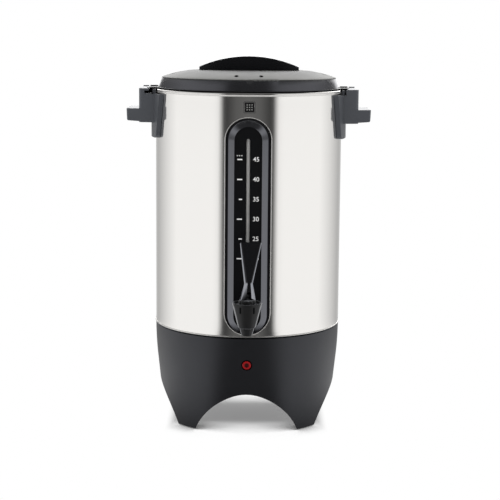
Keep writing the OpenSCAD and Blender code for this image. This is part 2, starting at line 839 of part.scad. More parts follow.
// Screwed cap of the valve chamber, with finger flutes round its collar
module tap_bonnet() {
    low = bonnet_low + seat_gap;
    color([0.14, 0.14, 0.145]) place_bonnet() difference() {
        rotate_extrude() polygon([
            [stem_r + 0.06, low], [9.95, low], [9.95, cup_top - 2.9], [bonnet_r, cup_top - 2.2],
            [bonnet_r, bonnet_top - 0.9], [bonnet_r - 0.9, bonnet_top], [stem_r + 0.06, bonnet_top]
        ]);
        for (a = [0 : 30 : 330]) rotate([0, 0, a]) post(bonnet_r + 0.5, 0, cup_top - 1.6, 170, 0.9);
    }
}

// Stem: a collar for the spring, a round shank through the bonnet and a flat eye for the pin
module valve_stem() {
    color("silver") place_bonnet() difference() {
        union() {
            post(0, 0, seat_z + 2.5, bonnet_top - 2.4, stem_r);
            post(0, 0, seat_z + 4.65, seat_z + 5.7, 5);
            intersection() {
                union() {
                    post(0, 0, bonnet_top - 3, pin_z, stem_r);
                    bar_x(-5, 5, 0, pin_z, 3.4);
                }
                translate([-eye_half, -5, 150]) cube([2 * eye_half, 10, 40]);
            }
        }
        bar_x(-10, 10, 0, pin_z, pin_r + pin_gap);
    }
}

// Rubber cup that closes the seat
module seat_cup() {
    color([0.2, 0.2, 0.2]) place_bonnet() difference() {
        rotate_extrude() polygon([
            [0, seat_z + body_gap], [5.8, seat_z + body_gap], [6.4, seat_z + 0.9], [6.4, seat_z + 4],
            [5.9, seat_z + 4.6], [0, seat_z + 4.6]
        ]);
        post(0, 0, seat_z + 2.4, seat_z + 6, stem_r + pin_gap);
    }
}

// Closing spring: a wire swept along a helix, its end turns wound closer
module valve_spring() {
    turns = 5.5;
    per_turn = 16;
    sides = 6;
    wire = 0.45;
    coil_r = 3.9;
    low = seat_z + 5.8 + wire;
    high = bonnet_low - seat_gap - wire;
    steps = turns * per_turn;
    // Share of the height that is reached at a share t of the length
    function climb(t) =
        t < 0.15 ? t * 0.55 : t > 0.85 ? 1 - (1 - t) * 0.55 : 0.0825 + (t - 0.15) * 1.192857;
    points = [
        for (i = [0 : steps], j = [0 : sides - 1])
            let (a = 360 * i / per_turn, b = 360 * j / sides, r = coil_r + wire * cos(b))
            [r * cos(a), r * sin(a), low + (high - low) * climb(i / steps) + wire * sin(b)]
    ];
    sides_faces = [
        for (i = [0 : steps - 1], j = [0 : sides - 1])
            let (k = (j + 1) % sides)
            [i * sides + j, (i + 1) * sides + j, (i + 1) * sides + k, i * sides + k]
    ];
    ends = [[for (j = [0 : sides - 1]) j], [for (j = [sides - 1 : -1 : 0]) steps * sides + j]];
    color("silver") place_bonnet() polyhedron(points, concat(sides_faces, ends));
}

// A level slice through the lever with six corners: its widths in front, at the middle and behind
// are w, and y is where each of them lies
module lever_slice(z, y, w) {
    translate([0, 0, z]) linear_extrude(0.02) polygon([
        [w[0] / 2, y[0]], [w[1] / 2, y[1]], [w[2] / 2, y[2]],
        [-w[2] / 2, y[2]], [-w[1] / 2, y[1]], [-w[0] / 2, y[0]]
    ]);
}

// Side view of the fork's cam. Its nose is an involute, so that the lift is in proportion to the tilt
module cam_side() {
    nose = [
        for (i = [0 : 20])
            let (t = (lever_tilt + 4) * i / 20, h = pin_high + cam_rise * t * PI / 180)
            [-h * sin(t) - cam_rise * cos(t), -h * cos(t) + cam_rise * sin(t)]
    ];
    polygon(concat([[12, 30], [6, 0], [5, 1 - pin_high], [4, -pin_high]], nose, [[-14, 4.5], [-14, 30]]));
}

// Lever: a forked foot whose two cheeks are cams, and a blade that widens upwards and leans forward
module tap_lever() {
    up = lever_top - pin_z;
    color([0.06, 0.06, 0.065]) place_bonnet() translate([0, 0, pin_z]) difference() {
        union() {
            intersection() {
                hull() {
                    lever_slice(-7.5, [-7.9, -4.6, 6.5], [7.2, 17.9, 15]);
                    lever_slice(neck_up, [-8.5, -5.6, -2.4], [3.4, 9.4, 6.5]);
                }
                translate([-10, 0, 0]) rotate([90, 0, 90]) linear_extrude(20) cam_side();
            }
            intersection() {
                hull() {
                    lever_slice(neck_up, [-8.5, -5.6, -2.4], [3.4, 9.4, 6.5]);
                    lever_slice(up - 0.02, [-16.4, -14.9, -12.9], [21, 24.1, 22]);
                }
                translate([0, 10, 0]) face_front() linear_extrude(40) polygon(concat(
                    arc([9.5, up - 2.6], 2.6, 0, 90),
                    arc([-9.5, up - 2.6], 2.6, 90, 180),
                    [[-12.1, 0], [12.1, 0]]
                ));
            }
        }
        translate([-fork_half, -20, -20]) cube([2 * fork_half, 40, 25]);
        bar_x(-12, 12, 0, 0, pin_r + 0.01);
    }
}

module lever_pin() {
    color("silver") place_bonnet() bar_x(-6.3, 6.3, 0, pin_z, pin_r);
}

// ---- percolator ----

// Pump tube on a flared foot that stands in the well, with a shoulder that carries the basket
module pump_tube() {
    foot = floor_z - well_deep + 0.1;
    tube_r = 5.5;
    color("gainsboro") place() difference() {
        rotate_extrude() {
            translate([tube_r - 1, foot + 12]) square([1, pump_top - foot - 12]);
            polygon([
                [21, foot], [22, foot], [22, foot + 3], [tube_r, foot + 13], [tube_r, foot + 15],
                [tube_r - 1, foot + 15], [tube_r - 1, foot + 12.4], [21, foot + 2.4]
            ]);
            polygon([
                [tube_r - 0.5, basket_low - 4], [9, basket_low - 1],
                [9, basket_low - 0.1], [tube_r - 0.5, basket_low - 0.1]
            ]);
        }
        for (a = [0 : 60 : 300]) rotate([0, 0, a]) bar_x(15, 30, 0, foot + 1, 1.2);
    }
}

// Basket with a perforated floor and a sleeve that slides down the pump tube
module coffee_basket() {
    color("gainsboro") place() difference() {
        union() {
            rotate_extrude($fn = smooth) {
                translate([6.2, basket_low]) square([basket_r - 6.2, 0.8]);
                translate([basket_r - 0.8, basket_low]) square([0.8, basket_high - basket_low - 1]);
                translate([basket_r, basket_high - 1]) circle(1.2);
                translate([6.2, basket_low]) square([0.8, basket_high - basket_low - 10]);
            }
        }
        for (k = [1 : 4], i = [0 : 8 * k - 1])
            rotate([0, 0, 360 * i / (8 * k)]) post(4 + 14.5 * k, 0, basket_low - 1, basket_low + 2, 1.1);
    }
}

// Perforated cover that spreads the water over the grounds
module basket_spreader() {
    low = basket_high + 0.3;
    color("gainsboro") place() difference() {
        rotate_extrude($fn = smooth) {
            polygon([
                [basket_r + 1.5, low], [basket_r + 1.5, low + 0.8], [60, low + 0.8], [56, low - 3.2],
                [14, low - 3.2], [9, low + 4], [5.9, low + 4], [5.9, low + 3.2], [8.6, low + 3.2],
                [13.6, low - 4], [56.4, low - 4], [60.4, low]
            ]);
        }
        for (k = [1 : 3], i = [0 : 8 * k - 1])
            rotate([0, 0, 360 * i / (8 * k)]) post(8 + 14 * k, 0, low - 6, low + 2, 1.1);
    }
}

// ---- heating and wiring, inside the base ----

// Sheathed element: an open ring under the floor with its two ends turned down
module heater_ring(mid_r, r, open_angle) {
    z = floor_z - tank_wall - r - 0.1;
    inset = asin(1.2 * r / mid_r);
    place() rotate([0, 0, 90 + open_angle / 2]) {
        rotate_extrude(angle = 360 - open_angle) translate([mid_r, z]) circle(r, $fn = 32);
        for (a = [inset, -open_angle - inset]) rotate([0, 0, a]) {
            post(mid_r, 0, z - 15, z, 0.8 * r);
            post(mid_r, 0, z - 22, z - 14, r / 3);
        }
    }
}

module brew_element() { color("dimgray") heater_ring(33, 4, 40); }

module warming_element() { color("dimgray") heater_ring(58, 2.5, 24); }

// Snap-disc thermostat on the floor's underside
module thermostat() {
    top = floor_z - tank_wall - 0.1;
    color("saddlebrown") place() translate([-44, -14, 0]) {
        post(0, 0, top - 2, top, 9);
        post(0, 0, top - 12, top - 1, 7.5);
        for (x = [-4, 4]) translate([x - 0.4, -3, top - 20]) cube([0.8, 6, 9]);
    }
}

module thermal_fuse() {
    top = floor_z - tank_wall - 0.2;
    color("white") place() {
        rod([36, -30, top - 3], [44, -16.2, top - 3], 3);
        translate([40, -23.1, top - 0.8]) cube([10, 8, 1.6], center = true);
    }
}

module terminal_block() {
    color("ivory") place() translate([0, 58, 0]) difference() {
        translate([-22, -7, plate_z + plate_thick + 0.1]) cube([44, 14, 15]);
        for (x = [-15, -5, 5, 15]) {
            post(x, 0, 62, 80, 3);
            translate([x - 2, -10, 58]) cube([4, 20, 4]);
        }
    }
}

// Leads from the inlet to the block, and from the block to the elements
module wiring() {
    color("firebrick") place() for (s = [-1, 1]) {
        lead([[s * 6.5, 74, inlet_z], [s * 15, 69, 72], [s * 15, 66.6, 60]], 1.3);
        lead([[s * 5, 49.4, 60], [s * 5, 42, 72], [s * 15.7, 29, 94.6]], 1.3);
        lead([[s * 15, 49.4, 60], [s * 15, 46, 74], [s * 15, 56, 96]], 1.3);
    }
}

// Socket for a removable lead, in the back of the skirt, with a flange on the skirt's surface
module inlet_housing() {
    color([0.05, 0.05, 0.05]) place() difference() {
        union() {
            translate([0, 92.8, inlet_z])
                cube([2 * inlet_half_w - 0.4, 27.6, 2 * inlet_half_h - 0.4], center = true);
            intersection() {
                skirt_skin(1.3);
                translate([0, 110, inlet_z])
                    cube([2 * inlet_half_w + 6, 40, 2 * inlet_half_h + 6], center = true);
            }
        }
        translate([0, 98, inlet_z]) cube([2 * inlet_half_w - 5, 32, 2 * inlet_half_h - 5], center = true);
        for (s = [-1, 1]) translate([s * 6.5, 90, inlet_z]) rotate([90, 0, 0]) cylinder(h = 30, r = 2.45);
    }
}

module inlet_pins() {
    color("silver") place() for (s = [-1, 1]) {
        translate([s * 6.5, 98, inlet_z]) rotate([90, 0, 0]) cylinder(h = 22, r = 2.4);
        translate([s * 6.5, 98, inlet_z]) sphere(2.4, $fn = 48);
    }
}

// Red lens with a hollow middle, and the clip-in holder behind it
module pilot_lens() {
    color("red") place() at_lamp() difference() {
        union() {
            translate([0, 0, -6]) cylinder(h = 6.2, r = lamp_r - 0.7);
            translate([0, 0, 0.1]) cylinder(h = 0.8, r = lamp_r);
            translate([0, 0, 0.8]) cylinder(h = 0.5, r = lamp_r - 0.4);
        }
        cylinder(h = 10, r = 2);
    }
}

module pilot_holder() {
    color("dimgray") place() at_lamp() difference() {
        translate([0, 0, -20]) cylinder(h = 16, r = lamp_r + 1.2);
        translate([0, 0, -6.1]) cylinder(h = 10, r = lamp_r - 0.6);
    }
}

tank_shell();
tank_floor();
tie_nuts();
badge_plate();
base_skirt();
base_plate();
base_screws();
foot_pads();
lid_shell();
lid_grip();
lid_grip_screws();
handle_left();
handle_right();
handle_screws();
handle_washers();
gauge_housing();
gauge_scale_plate();
gauge_glass();
gauge_cap();
gauge_seal();
gauge_screw();
tap_body();
tap_outer_washer();
tap_inner_washer();
tap_lock_nut();
tap_bonnet();
valve_stem();
seat_cup();
valve_spring();
tap_lever();
lever_pin();
pump_tube();
coffee_basket();
basket_spreader();
brew_element();
warming_element();
thermostat();
thermal_fuse();
terminal_block();
wiring();
inlet_housing();
inlet_pins();
pilot_lens();
pilot_holder();
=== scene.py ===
# %% [markdown]
# # A percolating coffee urn
# The urn is a steel tank on a charcoal plastic base. A shallow lid lifts off, two grips are screwed to
# the tank's sides, and in front stand a sight gauge and a spring-closed lever tap. This lesson dresses
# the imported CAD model: each cell makes one piece or one finish and says why it is made that way.

import json
import math

import bmesh
import bpy
from mathutils import Matrix, Vector


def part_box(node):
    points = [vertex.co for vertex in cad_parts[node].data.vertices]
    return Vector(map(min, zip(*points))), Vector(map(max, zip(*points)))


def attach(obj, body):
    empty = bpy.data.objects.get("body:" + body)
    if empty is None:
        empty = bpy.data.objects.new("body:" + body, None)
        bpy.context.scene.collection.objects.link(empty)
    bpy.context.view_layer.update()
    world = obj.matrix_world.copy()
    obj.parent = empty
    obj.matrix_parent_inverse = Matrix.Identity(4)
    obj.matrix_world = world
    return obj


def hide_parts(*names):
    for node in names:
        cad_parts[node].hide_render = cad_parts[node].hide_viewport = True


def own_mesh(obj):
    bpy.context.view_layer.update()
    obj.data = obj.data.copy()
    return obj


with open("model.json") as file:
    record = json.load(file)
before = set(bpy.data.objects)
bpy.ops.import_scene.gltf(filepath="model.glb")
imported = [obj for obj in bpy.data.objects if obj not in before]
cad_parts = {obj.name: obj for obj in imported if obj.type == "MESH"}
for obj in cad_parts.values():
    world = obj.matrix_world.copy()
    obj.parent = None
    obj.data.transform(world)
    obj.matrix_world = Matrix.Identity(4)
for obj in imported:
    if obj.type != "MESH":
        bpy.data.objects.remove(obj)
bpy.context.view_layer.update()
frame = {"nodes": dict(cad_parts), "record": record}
MM = 0.001
NODE_BODY = {
    node: body
    for body, members in frame["record"]["behaviour"]["bodies"].items()
    for node in members
}

# %% [markdown]
# ## The frame's landmarks
# The axis and heights come from the CAD nodes' own boxes, so they follow the solids; radius and wall are
# given.
# The tank is round, so the middle of its box is the axis that most pieces are turned about.

# %% Landmarks
def box_mm(node):
    """A CAD node's lowest and highest corner in millimetres."""
    low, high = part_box(node)
    return [v / MM for v in low], [v / MM for v in high]


tank_box = box_mm("tank_shell")
AXIS_Y = (tank_box[0][1] + tank_box[1][1]) / 2
TANK_LOW = tank_box[0][2]
RIM_TOP = tank_box[1][2]
TANK_R = 107.0
TANK_WALL = 0.8
PLATE_FACE = box_mm("gauge_scale_plate")[0][1]
print(f"tank axis y {AXIS_Y:.2f}, steel from {TANK_LOW:.1f} to {RIM_TOP:.1f} mm")

# %% [markdown]
# ## Camera
# A long lens from about 1.7 m keeps the urn's sides almost parallel, as catalogue pictures do. The
# camera stands a little above the lid and looks down by nine degrees.

# %% Camera
CAMERA_AWAY = 1691.9
CAMERA_SIDE = 2.7
CAMERA_HIGH = 458.4
CAMERA_PITCH = 8.856
CAMERA_ROLL = 0.46
camera = bpy.data.objects.new("camera", bpy.data.cameras.new("camera"))
bpy.context.scene.collection.objects.link(camera)
bpy.context.scene.camera = camera
camera.data.lens = 105.32
camera.data.sensor_width = 36.0
camera.matrix_world = (
    Matrix.Translation(Vector((CAMERA_SIDE, AXIS_Y - CAMERA_AWAY, CAMERA_HIGH)) * MM)
    @ Matrix.Rotation(math.radians(90 - CAMERA_PITCH), 4, "X")
    @ Matrix.Rotation(math.radians(CAMERA_ROLL), 4, "Z")
)
print("camera looks down by", CAMERA_PITCH, "degrees")

# %% [markdown]
# ## Small helpers for node trees
# Materials and the world are built from nodes. One helper adds a node and sets its inputs. Each of the
# others stands for one common step and returns the socket that carries its result.

# %% Node helpers
def input_named(node, name):
    """An input by its number, written i0, or by its label with _ for each space."""
    return node.inputs[int(name[1:])] if name[1:].isdigit() else node.inputs[name.replace("_", " ")]


def add(tree, kind, settings=None, **inputs):
    """Add a node, set its properties and its unlinked inputs, and link those given as sockets."""
    node = tree.nodes.new(kind)
    for name, value in (settings or {}).items():
        setattr(node, name, value)
    for name, value in inputs.items():
        socket = input_named(node, name)
        if isinstance(value, bpy.types.NodeSocket):
            tree.links.new(value, socket)
        else:
            socket.default_value = value
    return node


def math_node(tree, operation, a, b=0.0, c=0.0, clamp=False):
    """One step of arithmetic."""
    settings = {"operation": operation, "use_clamp": clamp}
    return add(tree, "ShaderNodeMath", settings, i0=a, i1=b, i2=c).outputs[0]


def vector_node(tree, operation, a, b=(0, 0, 0)):
    """One step of vector arithmetic. A length or a distance comes out as a number."""
    node = add(tree, "ShaderNodeVectorMath", {"operation": operation}, i0=a, i1=b)
    return node.outputs["Value" if operation in ("LENGTH", "DISTANCE") else "Vector"]


def axes(tree, vector):
    """The X, Y and Z of a vector."""
    return add(tree, "ShaderNodeSeparateXYZ", i0=vector).outputs


def object_place(tree):
    """The place on the piece in its own metres, which stays with it when its body moves."""
    return add(tree, "ShaderNodeTexCoord").outputs["Object"]


# %% [markdown]
# ## Helpers for values that change over a surface
# A mask runs from 0 to 1 between two places, straight or smooth. It then blends two values or colours.

# %% Blending helpers
def mapped(tree, value, low, high, start=0.0, end=1.0):
    """low where value is at start, high where it is at end, and straight between."""
    return add(tree, "ShaderNodeMapRange", i0=value, i1=start, i2=end, i3=low, i4=high).outputs[0]


def smooth_step(tree, value, start, end, low=0.0, high=1.0):
    """low where value is at start, high where it is at end, and smooth between. start may be the larger."""
    settings = {"interpolation_type": "SMOOTHSTEP"}
    return add(tree, "ShaderNodeMapRange", settings, i0=value, i1=start, i2=end, i3=low, i4=high).outputs[0]


def mixed(tree, share, first, second):
    """The first colour where share is 0, the second where it is 1."""
    return add(tree, "ShaderNodeMix", {"data_type": "RGBA"}, i0=share, i6=first, i7=second).outputs[2]


def ramp(tree, fac, stops):
    """A colour ramp of grey values at the given places, and its colour output."""
    node = add(tree, "ShaderNodeValToRGB", i0=fac)
    while len(node.color_ramp.elements) < len(stops):
        node.color_ramp.elements.new(0.5)
    for element, (place, grey) in zip(node.color_ramp.elements, stops):
        element.position = place
        element.color = (grey, grey, grey, 1)
    return node.outputs["Color"]


# %% [markdown]
# ## Studio
# Polished steel shows the room more than itself. A product studio has bright walls to both sides and
# a dark room behind the camera, which gives a tank bright flanks and one dark upright band. The world
# paints that room by direction, so that it stays put when the camera moves. A darker dado runs round
# the walls just above the horizon, where flat tops would mirror them too brightly. Matt surfaces are lit
# by an even grey, and the camera itself sees plain white.

# %% World
# Greys of the walls by half turn: 0 is behind the camera, 0.5 to either side, 1 behind the urn.
WALLS = [
    (0.0, 0.13), (0.08, 0.11), (0.145, 0.05), (0.168, 0.08), (0.186, 0.50), (0.205, 0.92), (0.24, 1.0),
    (0.55, 1.0), (0.66, 0.80), (0.76, 0.60), (0.83, 0.48), (0.91, 0.55), (0.955, 1.0), (1.0, 1.0),
]
# By height, where 0 is straight down, 0.5 the horizon and 1 straight up: how much the dado dims the walls,
# and where the ceiling begins.
DADO = [(0.47, 1.0), (0.50, 0.35), (0.60, 0.5), (0.70, 1.0)]
CEILING_BEGINS = [(0.76, 0.0), (0.88, 1.0)]
CEILING = (0.12, 0.12, 0.12, 1)
WHITE = (1, 1, 1, 1)
PLAIN_LIGHT = 0.8


def walls_by_turn(tree, way):
    """The grey of the wall that lies in a direction, by its turn from the front to either side."""
    side = math_node(tree, "ABSOLUTE", axes(tree, way)["X"])
    forward = math_node(tree, "MULTIPLY", axes(tree, way)["Y"], -1.0)
    turn = math_node(tree, "ARCTAN2", side, forward)
    return ramp(tree, math_node(tree, "DIVIDE", turn, math.pi), WALLS)


def seen_straight(tree):
    """1 for a ray from the camera or through glass."""
    path = add(tree, "ShaderNodeLightPath").outputs
    return math_node(tree, "ADD", path["Is Camera Ray"], path["Is Transmission Ray"], clamp=True)


def build_world():
    world = bpy.data.worlds.new("studio")
    bpy.context.scene.world = world
    world.use_nodes = True
    tree = world.node_tree
    tree.nodes.clear()
    way = add(tree, "ShaderNodeTexCoord").outputs["Generated"]
    high = math_node(tree, "MULTIPLY_ADD", axes(tree, way)["Z"], 0.5, 0.5)
    dimmed = vector_node(tree, "MULTIPLY", walls_by_turn(tree, way), ramp(tree, high, DADO))
    room = mixed(tree, ramp(tree, high, CEILING_BEGINS), dimmed, CEILING)
    lit = add(tree, "ShaderNodeBackground", Color=room, Strength=1.0)
    white = add(tree, "ShaderNodeBackground", Color=WHITE, Strength=1.0)
    plain = add(tree, "ShaderNodeBackground", Color=WHITE, Strength=PLAIN_LIGHT)
    diffuse = add(tree, "ShaderNodeLightPath").outputs["Is Diffuse Ray"]
    soft = add(tree, "ShaderNodeMixShader", i0=diffuse, i1=lit.outputs[0], i2=plain.outputs[0])
    both = add(tree, "ShaderNodeMixShader", i0=seen_straight(tree), i1=soft.outputs[0], i2=white.outputs[0])
    add(tree, "ShaderNodeOutputWorld", Surface=both.outputs[0])


build_world()
bpy.context.scene.view_settings.view_transform = "Standard"
print("world: dark room in front, bright walls with a dado, white to the camera")

# %% [markdown]
# ## Floor
# The floor is a pale disc. Away from the urn it turns to the background's white, so that no edge shows.
# Under the base it is in shade: the shade is deepest behind the front feet and where little sky is seen.
# Glossy surfaces see the walls mirrored in it, dim near the urn.

# %% Floor
FLOOR_R = 0.62
FLOOR_DROP = 0.0002
# Metres from the tank's axis between which the shade ends: to the front and back, all round and to the
# sides. The walls' mirrored light grows between the last two.
SHADE_AHEAD = (0.033, 0.085)
SHADE_ROUND = (0.098, 0.128)
SHADE_BESIDE = (0.078, 0.094)
MIRROR_GROWS = (0.07, 0.22)
DEEPEST = 0.2


def floor_shade(tree, from_axis):
    """1 on open floor, less under the base, where the urn keeps the sky away."""
    open_sky = add(tree, "ShaderNodeAmbientOcclusion", {"samples": 8}, Distance=0.06).outputs["AO"]
    clear = mapped(tree, open_sky, 0.1, 1.0, start=0.54, end=0.76)
    ahead = math_node(tree, "ABSOLUTE", axes(tree, from_axis)["Y"])
    inner = smooth_step(tree, ahead, *SHADE_AHEAD, low=DEEPEST)
    outer = smooth_step(tree, vector_node(tree, "LENGTH", from_axis), *SHADE_ROUND)
    beside = smooth_step(tree, math_node(tree, "ABSOLUTE", axes(tree, from_axis)["X"]), *SHADE_BESIDE)
    under = math_node(tree, "MINIMUM", inner, clear)
    return math_node(tree, "MAXIMUM", under, math_node(tree, "MAXIMUM", outer, beside))


def build_floor():
    bpy.ops.mesh.primitive_circle_add(vertices=96, radius=FLOOR_R, fill_type="NGON", location=(0, 0, 0))
    floor = bpy.context.object
    floor.name = "floor"
    floor.data.transform(Matrix.Translation((0, 0, -FLOOR_DROP)))
    paint = bpy.data.materials.new("pale_floor")
    paint.use_nodes = True
    tree = paint.node_tree
    tree.nodes.clear()
    from_axis = vector_node(tree, "SUBTRACT", object_place(tree), (0, AXIS_Y * MM, 0))
    white = math_node(tree, "MULTIPLY", floor_shade(tree, from_axis), seen_straight(tree))
    matt = add(tree, "ShaderNodeBsdfDiffuse", Color=(0.92, 0.92, 0.92, 1))
    glow = add(tree, "ShaderNodeEmission", Color=WHITE, Strength=1.0)
    lit = add(tree, "ShaderNodeMixShader", i0=white, i1=matt.outputs[0], i2=glow.outputs[0])
    near_dim = smooth_step(tree, vector_node(tree, "LENGTH", from_axis), *MIRROR_GROWS, low=DEEPEST)
    room = add(tree, "ShaderNodeEmission", Color=walls_by_turn(tree, from_axis), Strength=near_dim)
    glossy = add(tree, "ShaderNodeLightPath").outputs["Is Glossy Ray"]
    both = add(tree, "ShaderNodeMixShader", i0=glossy, i1=lit.outputs[0], i2=room.outputs[0])
    add(tree, "ShaderNodeOutputMaterial", Surface=both.outputs[0])
    floor.data.materials.append(paint)


build_floor()
print("floor radius", FLOOR_R, "m")

# %% [markdown]
# ## Lamp
# One broad disc of light stands behind and above the urn. It is so large that its shadow has no hard
# edge, only the soft shade that seats the urn on the floor.

# %% Lamp
LAMP_PLACE = (0.12, 1.45, 1.1)
LAMP_AIM = (0, 0, 0.2)
LAMP_ACROSS = 2.2
LAMP_POWER = 28.0
lamp = bpy.data.objects.new("overhead_lamp", bpy.data.lights.new("overhead_lamp", "AREA"))
bpy.context.scene.collection.objects.link(lamp)
lamp.data.shape = "DISK"
lamp.data.size = LAMP_ACROSS
lamp.data.energy = LAMP_POWER
lamp.location = LAMP_PLACE
lamp.rotation_euler = (Vector(LAMP_AIM) - Vector(LAMP_PLACE)).to_track_quat("-Z", "Y").to_euler()
print("lamp", LAMP_ACROSS, "m across")

# %% [markdown]
# ## Surface detail shared by the plastics
# Moulded plastic isn't one flat colour. Its tool leaves a fine grain, it varies a little in tone, and
# dust settles on faces that look up. One shader group holds these three effects, and each plastic
# places it with its own values.

# %% Shader group: moulded surface
def new_group(name, inputs, outputs):
    """An empty shader group with named inputs, given with their values, and outputs."""
    tree = bpy.data.node_groups.new(name, "ShaderNodeTree")
    for label, value in inputs.items():
        kind = "NodeSocketColor" if isinstance(value, tuple) else "NodeSocketFloat"
        tree.interface.new_socket(label, in_out="INPUT", socket_type=kind).default_value = value
    for label in outputs:
        kind = "NodeSocketColor" if label == "Colour" else "NodeSocketFloat"
        tree.interface.new_socket(label, in_out="OUTPUT", socket_type=kind)
    return tree, tree.nodes.new("NodeGroupInput").outputs, tree.nodes.new("NodeGroupOutput").inputs


def build_moulded_group():
    tree, given, out = new_group(
        "moulded_surface",
        {"Colour": (0.05, 0.05, 0.05, 1), "Roughness": 0.4, "Grain size": 1500.0, "Tone": 0.15, "Dust": 0.02},
        ["Colour", "Roughness", "Height"],
    )
    place = object_place(tree)
    grain = add(tree, "ShaderNodeTexNoise", Vector=place, Scale=given["Grain size"], Detail=3.0)
    cloud = add(tree, "ShaderNodeTexNoise", Vector=place, Scale=28.0, Detail=4.0, Roughness=0.6)
    wander = math_node(tree, "SUBTRACT", cloud.outputs["Fac"], 0.5)
    tone = math_node(tree, "MULTIPLY_ADD", wander, given["Tone"], 1.0)
    painted = add(tree, "ShaderNodeVectorMath", {"operation": "SCALE"}, i0=given["Colour"], Scale=tone)
    upward = axes(tree, add(tree, "ShaderNodeNewGeometry").outputs["Normal"])["Z"]
    settled = math_node(tree, "MULTIPLY", upward, given["Dust"], clamp=True)
    speck = add(tree, "ShaderNodeTexNoise", Vector=place, Scale=260.0, Detail=6.0)
    settled = math_node(tree, "MULTIPLY", settled, speck.outputs["Fac"])
    tree.links.new(mixed(tree, settled, painted.outputs[0], (0.6, 0.6, 0.6, 1)), out["Colour"])
    tree.links.new(math_node(tree, "MULTIPLY_ADD", wander, 0.12, given["Roughness"]), out["Roughness"])
    tree.links.new(grain.outputs["Fac"], out["Height"])
    return tree


MOULDED = build_moulded_group()
print("shader group:", MOULDED.name, "with", len(MOULDED.nodes), "nodes")

# %% [markdown]
# ## Plastics
# The plastic pieces share the group above. They differ in tone, gloss and grain: the base and handles
# are matt charcoal, the grip and the scale plate nearly black. Their gloss is faintly blue.

# %% Plastic finishes
def start_material(name):
    """A new material, its node tree and its Principled shader."""
    material = bpy.data.materials.new(name)
    material.use_nodes = True
    return (material, *opened(material))


def opened(material):
    """A material's node tree and its Principled shader."""
    return material.node_tree, material.node_tree.nodes["Principled BSDF"]


def wear_surface(tree, shader, group, depth, **values):
    """Feed a shader's colour, roughness and bump from a surface group with its own values."""
    surface = add(tree, "ShaderNodeGroup", {"node_tree": group}, **values).outputs
    bump = add(tree, "ShaderNodeBump", Height=surface["Height"], Strength=depth, Distance=0.0002)
    tree.links.new(surface["Colour"], shader.inputs["Base Color"])
    tree.links.new(surface["Roughness"], shader.inputs["Roughness"])
    tree.links.new(bump.outputs["Normal"], shader.inputs["Normal"])


def plastic(name, colour, roughness, grain=1500.0, depth=0.06, specular=0.5, ior=1.5, dust=0.02, tone=0.15):
    material, tree, shader = start_material(name)
    wear_surface(
        tree, shader, MOULDED, depth,
        Colour=(*colour, 1), Roughness=roughness, Grain_size=grain, Tone=tone, Dust=dust,
    )
    shader.inputs["Specular IOR Level"].default_value = specular
    shader.inputs["Specular Tint"].default_value = (0.90, 0.92, 1.0, 1)
    shader.inputs["IOR"].default_value = ior
    return material


FINISH = {
    "grip_plastic": plastic("black_grip", (0.007, 0.007, 0.008), 0.26, grain=900.0),
    "handle_plastic": plastic("charcoal_handle", (0.074, 0.079, 0.088), 0.38, specular=0.7),
    "plate_plastic": plastic("black_scale_plate", (0.005, 0.005, 0.0055), 0.42, depth=0.03, specular=0.25),
    "tap_plastic": plastic("black_tap", (0.012, 0.012, 0.0125), 0.45, depth=0.03, specular=0.45),
    "phenolic": plastic("brown_black_phenolic", (0.02, 0.017, 0.015), 0.42, grain=700.0),
    "ceramic": plastic("glazed_ceramic", (0.72, 0.69, 0.62), 0.25, grain=400.0, tone=0.1),
    "silicone": plastic("silicone", (0.52, 0.51, 0.47), 0.5, grain=1200.0, tone=0.1),
    "rubber": plastic("soft_rubber", (0.02, 0.02, 0.02), 0.75, grain=1100.0, depth=0.2),
    "wire": plastic("woven_sleeve", (0.38, 0.05, 0.035), 0.7, grain=2200.0, depth=0.5),
    "print_white": plastic("white_print", (0.93, 0.93, 0.92), 0.5, grain=2000.0, tone=0.12, dust=0.0),
}
print(len(FINISH), "moulded finishes")

# %% [markdown]
# ## Metals
# Steel that is polished round its girth has fine lines that lie level and stretch reflections up and
# down. A noise that is squeezed along Z draws them, in a second shader group. With other values the same
# group makes the basket's satin aluminium and the plated screws.

# %% Shader group: brushed surface
GRAIN_ROUND = 9.0


def build_brushed_group():
    """Lines is how fine the grain is along Z. Round the girth it is GRAIN_ROUND."""
    tree, given, out = new_group(
        "brushed_surface",
        {"Colour": (0.8, 0.8, 0.8, 1), "Roughness": 0.3, "Spread": 0.06, "Lines": 900.0, "Tint": 0.05},
        ["Colour", "Roughness", "Height"],
    )
    place = object_place(tree)
    fineness = add(tree, "ShaderNodeCombineXYZ", X=GRAIN_ROUND, Y=GRAIN_ROUND, Z=given["Lines"])
    squeezed = add(tree, "ShaderNodeMapping", Vector=place, Scale=fineness.outputs[0])
    hair = add(tree, "ShaderNodeTexNoise", Vector=squeezed.outputs[0], Scale=1.0, Detail=6.0, Roughness=0.7)
    cloud = add(tree, "ShaderNodeTexNoise", Vector=place, Scale=9.0, Detail=3.0)
    streak = math_node(tree, "SUBTRACT", hair.outputs["Fac"], 0.5)
    shade = math_node(tree, "MULTIPLY_ADD", streak, given["Tint"], 1.0)
    painted = add(tree, "ShaderNodeVectorMath", {"operation": "SCALE"}, i0=given["Colour"], Scale=shade)
    wander = math_node(tree, "SUBTRACT", cloud.outputs["Fac"], 0.5)
    tree.links.new(painted.outputs[0], out["Colour"])
    tree.links.new(
        math_node(tree, "MULTIPLY_ADD", wander, given["Spread"], given["Roughness"]), out["Roughness"]
    )
    tree.links.new(hair.outputs["Fac"], out["Height"])
    return tree


BRUSHED = build_brushed_group()


